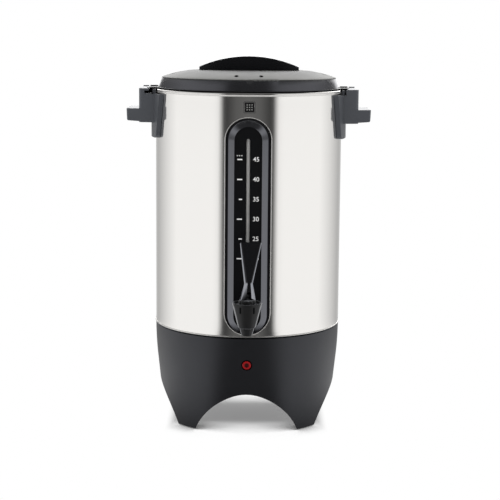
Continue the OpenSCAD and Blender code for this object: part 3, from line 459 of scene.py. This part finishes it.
def metal(name, colour, roughness, lines, depth, spread=0.06, tint=0.05):
    material, tree, shader = start_material(name)
    wear_surface(
        tree, shader, BRUSHED, depth,
        Colour=(*colour, 1), Roughness=roughness, Spread=spread, Lines=lines, Tint=tint,
    )
    shader.inputs["Metallic"].default_value = 1.0
    return material


FINISH["steel_plain"] = metal("plain_steel", (0.74, 0.74, 0.73), 0.24, 900.0, 0.05)
FINISH["steel_dark"] = metal("blackened_steel", (0.10, 0.10, 0.105), 0.34, 900.0, 0.05)
FINISH["zinc"] = metal("zinc_plate", (0.66, 0.66, 0.67), 0.34, 700.0, 0.04, tint=0.15)
FINISH["aluminium"] = metal("satin_aluminium", (0.83, 0.83, 0.84), 0.34, 1500.0, 0.06)
FINISH["element"] = metal("heat_darkened_sheath", (0.30, 0.28, 0.27), 0.5, 300.0, 0.1, spread=0.2, tint=0.4)
print("shader group:", BRUSHED.name, "with", len(BRUSHED.nodes), "nodes")

# %% [markdown]
# ## The tank's steel
# The sheet is polished, but the rollers that form its rim and foot lip leave them satin, and so does the
# tool that cuts its opening for the gauge. Masks by height and by the distance from the housing's outline
# make those places rougher. On the rim and round the opening they also turn part of the metal to a
# near-white matt: a painted highlight, which shows there as a bright line.

# %% Tank steel
CUT_WIDE = (0.7, 1.3)
CUT_SATIN_AND_HIGHLIGHT = 0.7
SATIN_ROUGHER = 0.4
PAINTED_HIGHLIGHT_WHITER = 0.7
# Millimetres below the rim's top or above the tank's foot, between which a satin band fades; on the rim it
# also carries the painted highlight
RIM_ROOT = (4.4, 3.8)
RIM_CREST = (2.1, 2.7)
LIP_EDGE = (1.8, 1.3)


def beyond_housing(tree, place):
    """How far a place on the tank's front is from the outline of the gauge's housing."""
    low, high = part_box("gauge_housing")
    end_r = (high[0] - low[0]) / 2
    axis = axes(tree, place)
    above_foot = math_node(tree, "MAXIMUM", axis["Z"], low[2] + end_r)
    middle_z = math_node(tree, "MINIMUM", above_foot, high[2] - end_r)
    middle = add(tree, "ShaderNodeCombineXYZ", Y=axis["Y"], Z=middle_z).outputs[0]
    return math_node(tree, "SUBTRACT", vector_node(tree, "DISTANCE", place, middle), end_r)


def tank_steel():
    """Polished sheet, satin at the rim, foot lip and gauge opening, with a painted highlight on rim and
    opening.
    """
    material = metal("polished_steel", (0.88, 0.865, 0.84), 0.09, 2600.0, 0.04, spread=0.03)
    tree, shader = opened(material)
    place = object_place(tree)
    height = axes(tree, place)["Z"]
    in_front = math_node(tree, "LESS_THAN", axes(tree, place)["Y"], AXIS_Y * MM)
    near = smooth_step(tree, beyond_housing(tree, place), CUT_WIDE[1] * MM, CUT_WIDE[0] * MM)
    cut = math_node(tree, "MULTIPLY", near, in_front)
    above_root = smooth_step(tree, height, *[(RIM_TOP - down) * MM for down in RIM_ROOT])
    below_crest = smooth_step(tree, height, *[(RIM_TOP - down) * MM for down in RIM_CREST])
    rim = math_node(tree, "MULTIPLY", above_root, below_crest)
    lip = smooth_step(tree, height, *[(TANK_LOW + up) * MM for up in LIP_EDGE])
    # Painted highlight: the rim band and the opening's edge turn part of the metal to near-white matt
    white = math_node(tree, "MAXIMUM", rim, math_node(tree, "MULTIPLY", cut, CUT_SATIN_AND_HIGHLIGHT))
    satin = math_node(tree, "MAXIMUM", white, lip)
    polish = shader.inputs["Roughness"].links[0].from_socket
    rough = math_node(tree, "MULTIPLY_ADD", satin, SATIN_ROUGHER, polish)
    tree.links.new(rough, shader.inputs["Roughness"])
    tree.links.new(mapped(tree, white, 1.0, 1.0 - PAINTED_HIGHLIGHT_WHITER), shader.inputs["Metallic"])
    return material


FINISH["steel"] = tank_steel()
print("tank steel: satin rim, lip and cut edge")

# %% [markdown]
# ## Sight tube
# The sight tube is frosted by scale: it lets a little light through and scatters the rest. A soft noise
# stands for the film, which makes the tube lighter and rougher where it is thick.

# %% Gauge glass
def scaled_glass():
    material, tree, shader = start_material("gauge_glass")
    film = add(tree, "ShaderNodeTexNoise", Vector=object_place(tree), Scale=55.0, Detail=5.0).outputs["Fac"]
    tree.links.new(ramp(tree, film, [(0.35, 0.10), (0.75, 0.22)]), shader.inputs["Roughness"])
    thick = mapped(tree, film, 0.0, 1.0, start=0.30, end=0.80)
    scale = mixed(tree, thick, (0.636, 0.632, 0.618, 1), (0.80, 0.794, 0.777, 1))
    tree.links.new(scale, shader.inputs["Base Color"])
    shader.inputs["Transmission Weight"].default_value = 0.23
    shader.inputs["IOR"].default_value = 1.47
    return material


FINISH["gauge_glass"] = scaled_glass()
print("gauge glass: frosted by scale")

# %% [markdown]
# ## Pilot lens
# The lens is a red ring round a dark eye, behind which the lamp sits. The distance from its middle, seen
# from the front, parts the two.

# %% Red lens
EYE_R = (2.0, 3.2)


def red_lens():
    material, tree, shader = start_material("red_lens")
    place = object_place(tree)
    low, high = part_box("pilot_lens")
    middle = ((low[0] + high[0]) / 2, 0, (low[2] + high[2]) / 2)
    out = vector_node(tree, "DISTANCE", vector_node(tree, "MULTIPLY", place, (1, 0, 1)), middle)
    ring = smooth_step(tree, out, EYE_R[0] * MM, EYE_R[1] * MM)
    cloud = add(tree, "ShaderNodeTexNoise", Vector=place, Scale=300.0, Detail=4.0).outputs["Fac"]
    red = mixed(tree, cloud, (0.29, 0.003, 0.005, 1), (0.42, 0.007, 0.010, 1))
    tree.links.new(mixed(tree, ring, (0.06, 0.002, 0.002, 1), red), shader.inputs["Base Color"])
    shader.inputs["Roughness"].default_value = 0.18
    return material


FINISH["lamp_red"] = red_lens()
print("pilot lens: dark eye of", EYE_R[0], "mm radius")

# %% [markdown]
# ## Gauge housing
# A moulding tool is polished where it shows most and left matt elsewhere. The housing's front and bevel
# are glossy, and its flank, close to the steel, is matt. The depth along Y parts them. A dark mirror
# stands for such strong gloss: it is a metal whose colour is the small share of light that it returns.

# %% Gauge moulding
FLANK_Y = PLATE_FACE + 5.9


def polish(tree, shader, share, returned, metallic=1.0):
    """Where share is 1, a dark mirror that returns a part of the light, given as a colour.

    What metallic leaves of that light is scattered.
    """
    colour = shader.inputs["Base Color"].links[0].from_socket
    tree.links.new(mixed(tree, share, colour, returned), shader.inputs["Base Color"])
    tree.links.new(math_node(tree, "MULTIPLY", share, metallic), shader.inputs["Metallic"])


def gauge_moulding():
    material = plastic("black_gauge", (0.008, 0.008, 0.009), 0.2, depth=0.03, specular=0.0)
    tree, shader = opened(material)
    deep = axes(tree, object_place(tree))["Y"]
    front = mapped(tree, deep, 0.0, 1.0, start=(FLANK_Y + 0.3) * MM, end=(FLANK_Y - 0.3) * MM)
    polish(tree, shader, front, returned=(0.148, 0.151, 0.165, 1))
    tree.links.new(mapped(tree, front, 0.6, 0.2), shader.inputs["Roughness"])
    return material


FINISH["gauge_plastic"] = gauge_moulding()
print("gauge moulding: matt behind y", round(FLANK_Y, 1), "mm")

# %% [markdown]
# ## Tap lever
# The lever's blade widens upwards and leans forward, and its sides slope back from a narrow front face
# to a wider waist. Those flanks are glossier than the face, on the cheeks all over and on the blade only
# along the outer edge. The place is first turned back by the lever's swivel, so that its depth can be
# measured square to the blade.

# %% Lever moulding
LEVER_TURN = 14.0
NECK_Z = 179.7
LEVER_TOP = 226.2
# At the neck and at the top: how far the front face stands before the tap's axis, and the flank's depth
FACE_AHEAD = (8.5, 16.4)
FLANK_DEEP = (2.9, 1.5)
# A flank is what faces sideways by this much, and its gloss begins at this share of its depth
FACES_SIDEWAYS = (0.25, 0.5)
GLOSS_BEGINS = (0.45, 0.65)


def lever_moulding():
    material = plastic("black_lever", (0.004, 0.004, 0.0045), 0.28, depth=0.03, ior=1.4)
    tree, shader = opened(material)
    coordinates = add(tree, "ShaderNodeTexCoord").outputs
    low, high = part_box("tap_bonnet")
    tap_axis = ((low[0] + high[0]) / 2, (low[1] + high[1]) / 2, 0)
    turned = add(
        tree, "ShaderNodeVectorRotate", {"rotation_type": "Z_AXIS"},
        i0=coordinates["Object"], i1=tap_axis, Angle=-math.radians(LEVER_TURN),
    )
    place = axes(tree, turned.outputs[0])
    up = mapped(tree, place["Z"], 0.0, 1.0, start=NECK_Z * MM, end=LEVER_TOP * MM)
    face = mapped(tree, up, tap_axis[1] - FACE_AHEAD[0] * MM, tap_axis[1] - FACE_AHEAD[1] * MM)
    deep = mapped(tree, up, FLANK_DEEP[0] * MM, FLANK_DEEP[1] * MM)
    inward = math_node(tree, "DIVIDE", math_node(tree, "SUBTRACT", place["Y"], face), deep)
    on_cheek = smooth_step(tree, up, 0.05, 0.0)
    outer = math_node(tree, "MAXIMUM", smooth_step(tree, inward, *GLOSS_BEGINS), on_cheek)
    sideways = math_node(tree, "ABSOLUTE", axes(tree, coordinates["Normal"])["X"])
    shiny = math_node(tree, "MULTIPLY", smooth_step(tree, sideways, *FACES_SIDEWAYS), outer)
    polish(tree, shader, shiny, returned=(0.345, 0.353, 0.383, 1))
    return material


FINISH["lever_plastic"] = lever_moulding()
print("lever moulding: swivelled by", LEVER_TURN, "degrees")

# %% [markdown]
# ## Places in shade
# A narrow gap, a hole's mouth or a slot is darker than any light in this studio makes it. A small group
# turns a colour to near black where its input Lit is 0. The lid, the base and the tap's cup use it.

# %% Shader group: shaded place
def build_shaded_group():
    tree, given, out = new_group("shaded_place", {"Colour": (0.05, 0.05, 0.05, 1), "Lit": 1.0}, ["Colour"])
    tree.links.new(mixed(tree, given["Lit"], (0.0008, 0.0008, 0.0008, 1), given["Colour"]), out["Colour"])
    return tree


SHADED = build_shaded_group()


def shade(tree, shader, lit):
    """Turn a material's colour to near black where lit is 0."""
    colour = shader.inputs["Base Color"].links[0].from_socket
    shaded = add(tree, "ShaderNodeGroup", {"node_tree": SHADED}, Colour=colour, Lit=lit)
    tree.links.new(shaded.outputs["Colour"], shader.inputs["Base Color"])


print("shader group:", SHADED.name)

# %% [markdown]
# ## Lid
# The lid's skirt is smooth and faintly blue. Its domed top is eroded matt, most of all round the grip, so
# its gloss grows towards the edge. Eight vents pierce the top. Their mouths, the corner where top and
# skirt meet and the skirt's hem lie in shade.

# %% Lid moulding
LID_LOW = RIM_TOP + 0.3
VENT_AT = 86.3
VENT_SIDE = 13.5
VENT_R = 1.65
VENT_LONG = 0.65
# What the lid returns of the light, and the two radii in metres between which the top's gloss grows
TOP_RETURNS = [(0.042, 0.042, 0.041, 1), (0.143, 0.143, 0.137, 1)]
TOP_GROWS = (0.066, 0.095)
SKIRT_RETURNS = (0.089, 0.090, 0.099, 1)
SKIRT_METALLIC = 0.89
CORNER_SHADE = 0.50


def near_vent(tree, from_axis):
    """The distance from the nearest vent. Along the radius it counts less, so that mouths look deep."""
    quarter = vector_node(tree, "ABSOLUTE", from_axis)
    nearest = []
    for middle, squeeze in (
        ((VENT_AT * MM, VENT_SIDE * MM, 0), (VENT_LONG, 1, 0)),
        ((VENT_SIDE * MM, VENT_AT * MM, 0), (1, VENT_LONG, 0)),
    ):
        away = vector_node(tree, "MULTIPLY", vector_node(tree, "SUBTRACT", quarter, middle), squeeze)
        nearest.append(vector_node(tree, "LENGTH", away))
    return math_node(tree, "MINIMUM", *nearest)


def lid_moulding():
    material = plastic("charcoal_lid", (0.009, 0.0092, 0.0105), 0.40, specular=0.0)
    tree, shader = opened(material)
    coordinates = add(tree, "ShaderNodeTexCoord").outputs
    upward = axes(tree, coordinates["Normal"])["Z"]
    top = smooth_step(tree, upward, 0.35, 0.75)
    flat = vector_node(tree, "MULTIPLY", coordinates["Object"], (1, 1, 0))
    from_axis = vector_node(tree, "SUBTRACT", flat, (0, AXIS_Y * MM, 0))
    out = vector_node(tree, "LENGTH", from_axis)
    on_top = mixed(tree, mapped(tree, out, 0.0, 1.0, *TOP_GROWS), *TOP_RETURNS)
    shader.inputs["Specular Tint"].default_value = (1.00, 1.00, 1.00, 1)
    grain = shader.inputs["Roughness"].links[0].from_socket
    rough = math_node(tree, "ADD", grain, mapped(tree, top, -0.15, 0.12))
    tree.links.new(rough, shader.inputs["Roughness"])
    off_vent = smooth_step(tree, near_vent(tree, from_axis), (VENT_R + 0.3) * MM, (VENT_R + 0.8) * MM)
    height = axes(tree, coordinates["Object"])["Z"]
    off_hem = smooth_step(tree, height, (LID_LOW + 0.7) * MM, (LID_LOW + 1.2) * MM)
    corner = math_node(
        tree, "MULTIPLY", smooth_step(tree, upward, 0.40, 0.50), smooth_step(tree, upward, 0.88, 0.80)
    )
    lit = math_node(tree, "MULTIPLY", off_vent, off_hem)
    lit = math_node(tree, "SUBTRACT", lit, math_node(tree, "MULTIPLY", corner, CORNER_SHADE), clamp=True)
    shade(tree, shader, lit)
    returned = mixed(tree, top, SKIRT_RETURNS, on_top)
    polish(tree, shader, lit, returned, metallic=mapped(tree, top, SKIRT_METALLIC, 1.0))
    return material


FINISH["lid_plastic"] = lid_moulding()
print("lid moulding: vents", VENT_AT, "mm from the axis")

# %% [markdown]
# ## Base
# The base is matt charcoal. The steel's lip overhangs its top edge, and the pilot lens sits in a hole in
# it. Both places carry painted shade: a dark band under the lip and a dark line round the lens, where
# the plastic gives way to a black metal, which mirrors next to nothing, so that its gloss goes too.

# %% Base moulding
def base_moulding():
    material = plastic("charcoal_base", (0.0105, 0.0108, 0.0125), 0.40, specular=0.66)
    tree, shader = opened(material)
    place = object_place(tree)
    low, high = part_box("pilot_lens")
    middle = (Vector(low) + Vector(high)) / 2
    lens_r = (high[0] - low[0]) / 2
    from_lens = vector_node(tree, "DISTANCE", place, middle)
    # Painted shade: a band under the steel's lip and a ring round the lens hole turn near black
    below_lip = smooth_step(tree, axes(tree, place)["Z"], (TANK_LOW - 1.2) * MM, (TANK_LOW - 1.9) * MM)
    off_hole = smooth_step(tree, from_lens, lens_r + 1.2 * MM, lens_r + 2.0 * MM)
    lit = math_node(tree, "MULTIPLY", below_lip, off_hole)
    shade(tree, shader, lit)
    tree.links.new(math_node(tree, "SUBTRACT", 1.0, lit), shader.inputs["Metallic"])
    return material


FINISH["base_plastic"] = base_moulding()
print("base moulding: in shade above z", round(TANK_LOW - 1.9, 1), "mm")

# %% [markdown]
# ## Badge
# The badge is a small plate with a steel border. Its black field carries plain dots in rows, drawn from
# the distance to the nearest point of a square pattern.

# %% Badge
FIELD_HALF = 5.2
DOTS_HALF = 3.9
DOT_STEP = 2.6
DOT_R = 0.7


def badge_print():
    """A bright border round a black square, which carries three rows of three plain dots."""
    material, tree, shader = start_material("badge_print")
    low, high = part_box("badge_plate")
    place = object_place(tree)
    from_middle = [math_node(tree, "SUBTRACT", axes(tree, place)[i], (low[i] + high[i]) / 2) for i in (0, 2)]
    across, up = [math_node(tree, "DIVIDE", away, MM) for away in from_middle]
    reach = math_node(tree, "MAXIMUM", math_node(tree, "ABSOLUTE", across), math_node(tree, "ABSOLUTE", up))
    field = math_node(tree, "LESS_THAN", reach, FIELD_HALF)
    half = DOT_STEP / 2
    off = [
        math_node(tree, "SUBTRACT", half, math_node(tree, "PINGPONG", math_node(tree, "ADD", v, half), half))
        for v in (across, up)
    ]
    squares = [math_node(tree, "POWER", v, 2.0) for v in off]
    from_dot = math_node(tree, "SQRT", math_node(tree, "ADD", *squares))
    dots = math_node(
        tree, "MULTIPLY",
        math_node(tree, "LESS_THAN", from_dot, DOT_R), math_node(tree, "LESS_THAN", reach, DOTS_HALF),
    )
    cloud = add(tree, "ShaderNodeTexNoise", Vector=place, Scale=400.0).outputs["Fac"]
    black = ramp(tree, cloud, [(0.3, 0.006), (0.7, 0.012)])
    inked = mixed(tree, dots, black, (0.30, 0.30, 0.29, 1))
    tree.links.new(mixed(tree, field, (0.8, 0.79, 0.77, 1), inked), shader.inputs["Base Color"])
    tree.links.new(math_node(tree, "SUBTRACT", 1.0, field), shader.inputs["Metallic"])
    tree.links.new(ramp(tree, cloud, [(0.3, 0.18), (0.7, 0.26)]), shader.inputs["Roughness"])
    return material


FINISH["badge"] = badge_print()
print("badge: black field with plain dots")

# %% [markdown]
# ## Tap cup
# The cup is fine-grained and looks evenly dark, but its outline turns away from the eye and catches the
# light, so its coat grows with the facing angle and a sheen lies over it. Two short moulded slots mark
# its front; they are painted near black, as painted shade.

# %% Tap cup
SLOT_X = (-7.2, 7.4)
SLOT_Z = 151.4
SLOT_HALF_WIDE = 0.9
SLOT_HALF_HIGH = 3.6
# The facing angle, from 0 straight on to 1 edge on, between which the coat grows, and its two weights
OUTLINE = (0.55, 0.75)
COAT_GROWS = (0.08, 1.0)


def outside_slots(tree, place):
    """0 in the two slots, 1 elsewhere."""
    slots = 0.0
    up = math_node(tree, "ABSOLUTE", math_node(tree, "SUBTRACT", axes(tree, place)["Z"], SLOT_Z * MM))
    level = math_node(tree, "LESS_THAN", up, SLOT_HALF_HIGH * MM)
    for x in SLOT_X:
        across = math_node(tree, "ABSOLUTE", math_node(tree, "SUBTRACT", axes(tree, place)["X"], x * MM))
        inside = math_node(tree, "MULTIPLY", math_node(tree, "LESS_THAN", across, SLOT_HALF_WIDE * MM), level)
        slots = math_node(tree, "ADD", inside, slots)
    return math_node(tree, "SUBTRACT", 1.0, slots, clamp=True)


def cup_moulding():
    material = plastic("black_cup", (0.012, 0.012, 0.0125), 0.45, depth=0.03, specular=0.0)
    tree, shader = opened(material)
    turn = add(tree, "ShaderNodeLayerWeight", Blend=0.5).outputs["Facing"]
    # Painted shade: the two slots go near black and lose their coat
    lit = outside_slots(tree, object_place(tree))
    shade(tree, shader, lit)
    strong = smooth_step(tree, turn, *OUTLINE, *COAT_GROWS)
    tree.links.new(math_node(tree, "MULTIPLY", strong, lit), shader.inputs["Coat Weight"])
    shader.inputs["Coat IOR"].default_value = 4.0
    shader.inputs["Coat Roughness"].default_value = 0.45
    shader.inputs["Sheen Weight"].default_value = 0.9
    shader.inputs["Sheen Roughness"].default_value = 0.32
    shader.inputs["Sheen Tint"].default_value = (0.90, 0.93, 1.0, 1)
    return material


FINISH["cup_plastic"] = cup_moulding()
print(len(FINISH), "finishes in all")

# %% [markdown]
# ## Dressing a CAD node
# A CAD mesh is loose triangles with knife-sharp edges. A moulding or pressing has small radii that
# catch the light. So a copy of the mesh is merged, its flat faces are joined, its edges get a narrow
# bevel and its shading runs smooth up to a set angle. The copy then stands for the node.

# %% Dressing helper
def finish_piece(piece, node, finish, replaced=True):
    """Put a piece on its node's body, give it its material and let it stand for the node."""
    piece.data.materials.clear()
    piece.data.materials.append(FINISH[finish])
    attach(piece, NODE_BODY[node])
    if replaced:
        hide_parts(node)


def new_object(name, mesh):
    piece = bpy.data.objects.new(name, mesh)
    bpy.context.scene.collection.objects.link(piece)
    return piece


def dress(node, finish, edge=0.3, segments=2, smooth=32.0):
    mesh = frame["nodes"][node].data.copy()
    mesh.name = node + "_dressed"
    shell = bmesh.new()
    shell.from_mesh(mesh)
    bmesh.ops.remove_doubles(shell, verts=shell.verts, dist=2e-6)
    bmesh.ops.dissolve_limit(shell, angle_limit=math.radians(0.3), verts=shell.verts, edges=shell.edges)
    shell.to_mesh(mesh)
    shell.free()
    for layer in [a.name for a in mesh.attributes if a.name in ("custom_normal", "sharp_edge", "sharp_face")]:
        mesh.attributes.remove(mesh.attributes[layer])
    mesh.shade_smooth()
    mesh.set_sharp_from_angle(angle=math.radians(smooth))
    piece = new_object(node + "_dressed", mesh)
    if edge:
        bevel = piece.modifiers.new("edge", "BEVEL")
        bevel.width = edge * MM
        bevel.segments = segments
        bevel.limit_method = "ANGLE"
        bevel.angle_limit = math.radians(smooth)
        bevel.harden_normals = True
    finish_piece(piece, node, finish)
    return piece


PLAIN_DRESS = {
    "tank_floor": ("steel_plain", 0), "tie_nuts": ("zinc", 0.15), "badge_plate": ("badge", 0.1),
    "base_skirt": ("base_plastic", 0.35), "base_plate": ("base_plastic", 0.2), "base_screws": ("zinc", 0.1),
    "foot_pads": ("rubber", 0.3),
    "lid_shell": ("lid_plastic", 0.3), "lid_grip": ("grip_plastic", 0.5), "lid_grip_screws": ("zinc", 0.1),
    "handle_left": ("handle_plastic", 0.35), "handle_right": ("handle_plastic", 0.35),
    "handle_screws": ("zinc", 0.1), "handle_washers": ("silicone", 0.15),
    "gauge_housing": ("gauge_plastic", 0.25), "gauge_scale_plate": ("plate_plastic", 0.15),
    "gauge_glass": ("gauge_glass", 0), "gauge_cap": ("tap_plastic", 0.2), "gauge_seal": ("silicone", 0.1),
    "gauge_screw": ("zinc", 0.1),
    "tap_body": ("cup_plastic", 0.2), "tap_outer_washer": ("silicone", 0.15),
    "tap_inner_washer": ("silicone", 0.15), "tap_lock_nut": ("zinc", 0.25),
    "tap_bonnet": ("cup_plastic", 0.15),
    "valve_stem": ("steel_dark", 0.1), "seat_cup": ("rubber", 0.1), "valve_spring": ("zinc", 0),
    "tap_lever": ("lever_plastic", 0.4), "lever_pin": ("steel_dark", 0.1),
    "pump_tube": ("aluminium", 0), "coffee_basket": ("aluminium", 0), "basket_spreader": ("aluminium", 0),
    "brew_element": ("element", 0), "warming_element": ("element", 0), "thermostat": ("phenolic", 0.1),
    "thermal_fuse": ("ceramic", 0.1), "terminal_block": ("ceramic", 0.2), "wiring": ("wire", 0),
    "inlet_housing": ("phenolic", 0.3), "inlet_pins": ("zinc", 0), "pilot_lens": ("lamp_red", 0.15),
    "pilot_holder": ("phenolic", 0.15),
}
dressed = {node: dress(node, finish, edge) for node, (finish, edge) in PLAIN_DRESS.items()}
print(len(PLAIN_DRESS), "nodes dressed")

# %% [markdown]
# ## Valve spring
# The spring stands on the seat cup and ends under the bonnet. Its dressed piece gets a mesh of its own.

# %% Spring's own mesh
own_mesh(dressed["valve_spring"])

# %% [markdown]
# ## Tank
# The tank is one sheet rolled round and finished by a rolled rim and a lip at its foot. Turning a
# profile about the axis gives even quads, which polished metal needs: a reflection shows every flaw of
# the mesh under it.

# %% Tank shell
def arc_points(centre, radius, start, end, count):
    return [
        (
            centre[0] + radius * math.cos(math.radians(start + (end - start) * i / count)),
            centre[1] + radius * math.sin(math.radians(start + (end - start) * i / count)),
        )
        for i in range(count + 1)
    ]


def lathe(name, profile, steps=256):
    """Turn a closed profile of (radius, height) in millimetres about the tank's axis."""
    shell = bmesh.new()
    ring = [shell.verts.new((r * MM, AXIS_Y * MM, z * MM)) for r, z in profile]
    edges = [shell.edges.new((ring[i], ring[(i + 1) % len(ring)])) for i in range(len(ring))]
    bmesh.ops.spin(
        shell, geom=ring + edges, cent=(0, AXIS_Y * MM, 0), axis=(0, 0, 1),
        angle=math.tau, steps=steps, use_duplicate=False,
    )
    bmesh.ops.remove_doubles(shell, verts=shell.verts, dist=1e-6)
    bmesh.ops.recalc_face_normals(shell, faces=shell.faces)
    mesh = bpy.data.meshes.new(name)
    shell.to_mesh(mesh)
    shell.free()
    mesh.shade_smooth()
    mesh.set_sharp_from_angle(angle=math.radians(35))
    return new_object(name, mesh)


ROLL_R = 2.0
roll_mid = (TANK_R - 0.5, RIM_TOP - ROLL_R)
lip_mid = (TANK_R, TANK_LOW + 0.7)
inner_r = TANK_R - TANK_WALL
tank_profile = (
    [(inner_r, TANK_LOW + 0.1)]
    + arc_points(lip_mid, 0.7, -130, 90, 10)
    + [(TANK_R, TANK_LOW + 6), (TANK_R, RIM_TOP - 12)]
    + arc_points(roll_mid, ROLL_R, -70, 190, 22)
    + [(inner_r, RIM_TOP - 6), (inner_r, TANK_LOW + 6)]
)
tank = lathe("tank_skin", tank_profile)
finish_piece(tank, "tank_shell", "steel")
print("tank skin:", len(tank.data.polygons), "faces")

# %% [markdown]
# ## Scale bars
# The scale has a bar for every five cups: long ones at 20, 30, 40 and 45, short ones between. Bars that
# repeat at an even pitch suit Geometry Nodes: a line of points and a bar on each point. The long bars,
# the short bars and the top bar are grown as three such lines, each starting one cup below the last.

# %% Scale bars by Geometry Nodes
CUP_PITCH = 21.67
CUPS_45_Z = 311.9
BAR_RIGHT = -6.3
LONG_BAR = 5.5
SHORT_BAR = 3.6
PRINT_PROUD = 0.08


def group_input(tree, label, kind, value):
    socket = tree.interface.new_socket(label, in_out="INPUT", socket_type=kind)
    if value is not None:
        socket.default_value = value
    return socket


def bar_tree():
    tree = bpy.data.node_groups.new("scale_bars", "GeometryNodeTree")
    group_input(tree, "Bars", "NodeSocketInt", 6)
    group_input(tree, "Pitch", "NodeSocketFloat", 0.02)
    group_input(tree, "Length", "NodeSocketFloat", 0.006)
    group_input(tree, "Thickness", "NodeSocketFloat", 0.0013)
    group_input(tree, "Finish", "NodeSocketMaterial", None)
    tree.interface.new_socket("Geometry", in_out="OUTPUT", socket_type="NodeSocketGeometry")
    given = tree.nodes.new("NodeGroupInput").outputs
    drop = add(tree, "ShaderNodeCombineXYZ", Z=math_node(tree, "MULTIPLY", given["Pitch"], -1.0))
    line = add(tree, "GeometryNodeMeshLine", Count=given["Bars"], Offset=drop.outputs[0])
    size = add(tree, "ShaderNodeCombineXYZ", X=given["Length"], Y=0.0001, Z=given["Thickness"])
    bar = add(tree, "GeometryNodeMeshCube", Size=size.outputs[0])
    shift = add(tree, "ShaderNodeCombineXYZ", X=math_node(tree, "MULTIPLY", given["Length"], -0.5))
    moved = add(tree, "GeometryNodeTransform", Geometry=bar.outputs[0], Translation=shift.outputs[0])
    laid = add(tree, "GeometryNodeInstanceOnPoints", Points=line.outputs[0], Instance=moved.outputs[0])
    real = add(tree, "GeometryNodeRealizeInstances", Geometry=laid.outputs[0])
    painted = add(tree, "GeometryNodeSetMaterial", Geometry=real.outputs[0], Material=given["Finish"])
    out = tree.nodes.new("NodeGroupOutput")
    tree.links.new(painted.outputs[0], out.inputs[0])
    return tree


def grow(name, tree, values):
    """Run a Geometry Nodes tree on an empty mesh and return its result as a plain mesh object."""
    seedling = new_object(name + "_seed", bpy.data.meshes.new(name + "_seed"))
    modifier = seedling.modifiers.new("grow", "NODES")
    modifier.node_group = tree
    for item in tree.interface.items_tree:
        if item.in_out == "INPUT" and item.name in values:
            modifier[item.identifier] = values[item.name]
    seedling.update_tag()
    bpy.context.view_layer.update()
    grown = bpy.data.meshes.new_from_object(seedling.evaluated_get(bpy.context.evaluated_depsgraph_get()))
    bpy.data.objects.remove(seedling)
    return new_object(name, grown)


def place_mesh(piece, x, y, z):
    piece.data.transform(Matrix.Translation(Vector((x, y, z)) * MM))
    return piece


def join_meshes(name, pieces):
    """One mesh object out of several, whose meshes are already in place."""
    whole = bmesh.new()
    for piece in pieces:
        whole.from_mesh(piece.data)
        bpy.data.objects.remove(piece)
    mesh = bpy.data.meshes.new(name)
    whole.to_mesh(mesh)
    whole.free()
    return new_object(name, mesh)


BARS = bar_tree()
common = {"Finish": FINISH["print_white"], "Thickness": 1.35 * MM}
common["Pitch"] = 2 * CUP_PITCH * MM
long_bars = grow("long_bars", BARS, {**common, "Bars": 3, "Length": LONG_BAR * MM})
short_bars = grow("short_bars", BARS, {**common, "Bars": 2, "Length": SHORT_BAR * MM})
top_bar = grow("top_bar", BARS, {**common, "Bars": 1, "Pitch": CUP_PITCH * MM, "Length": LONG_BAR * MM})
face_y = PLATE_FACE - PRINT_PROUD
scale_marks = join_meshes("scale_marks", [
    place_mesh(top_bar, BAR_RIGHT, face_y, CUPS_45_Z),
    place_mesh(long_bars, BAR_RIGHT, face_y, CUPS_45_Z - CUP_PITCH),
    place_mesh(short_bars, BAR_RIGHT, face_y, CUPS_45_Z - 2 * CUP_PITCH),
])
finish_piece(scale_marks, "gauge_scale_plate", "print_white", replaced=False)
print("scale marks:", len(scale_marks.data.polygons), "faces")

# %% [markdown]
# ## Scale numbers
# The numbers are print, a tenth of a millimetre thick. Text objects give clean outlines; they are made
# meshes before they are placed, so that the piece's object stays at the origin.

# %% Numbers and arrows
NUMBER_HIGH = 4.9
NUMBER_X = 8.7


def number(text, x, z):
    curve = bpy.data.curves.new("number_" + text, "FONT")
    curve.body = text
    curve.size = NUMBER_HIGH * MM / 0.70
    curve.align_x = "CENTER"
    curve.align_y = "CENTER"
    curve.extrude = 0.05 * MM
    curve.offset = 0.04 * MM
    curve.resolution_u = 4
    typed = bpy.data.objects.new("typed", curve)
    bpy.context.scene.collection.objects.link(typed)
    bpy.context.view_layer.update()
    mesh = bpy.data.meshes.new_from_object(typed.evaluated_get(bpy.context.evaluated_depsgraph_get()))
    bpy.data.objects.remove(typed)
    mesh.transform(Matrix.Rotation(math.radians(90), 4, "X"))
    return place_mesh(new_object("number_" + text, mesh), x, face_y, z)


def arrow(x, z, size=1.5):
    """A small triangle that points down."""
    shape = bmesh.new()
    flat = [(-size / 2, 0), (size / 2, 0), (0, -size)]
    front = [shape.verts.new((px * MM, -0.05 * MM, pz * MM)) for px, pz in flat]
    back = [shape.verts.new((px * MM, 0.05 * MM, pz * MM)) for px, pz in flat]
    shape.faces.new(front)
    shape.faces.new(back[::-1])
    for i in range(3):
        shape.faces.new((front[i], front[(i + 1) % 3], back[(i + 1) % 3], back[i]))
    bmesh.ops.recalc_face_normals(shape, faces=shape.faces)
    mesh = bpy.data.meshes.new("arrow")
    shape.to_mesh(mesh)
    shape.free()
    return place_mesh(new_object("arrow", mesh), x, face_y, z)


figures = [number(str(45 - 5 * i), NUMBER_X, CUPS_45_Z - CUP_PITCH * i) for i in range(6)]
arrows = [arrow(BAR_RIGHT - 5.4 + 2.4 * i, CUPS_45_Z + 4.6) for i in range(3)]
scale_figures = join_meshes("scale_figures", figures + arrows)
finish_piece(scale_figures, "gauge_scale_plate", "print_white", replaced=False)
print("scale figures:", len(scale_figures.data.polygons), "faces")
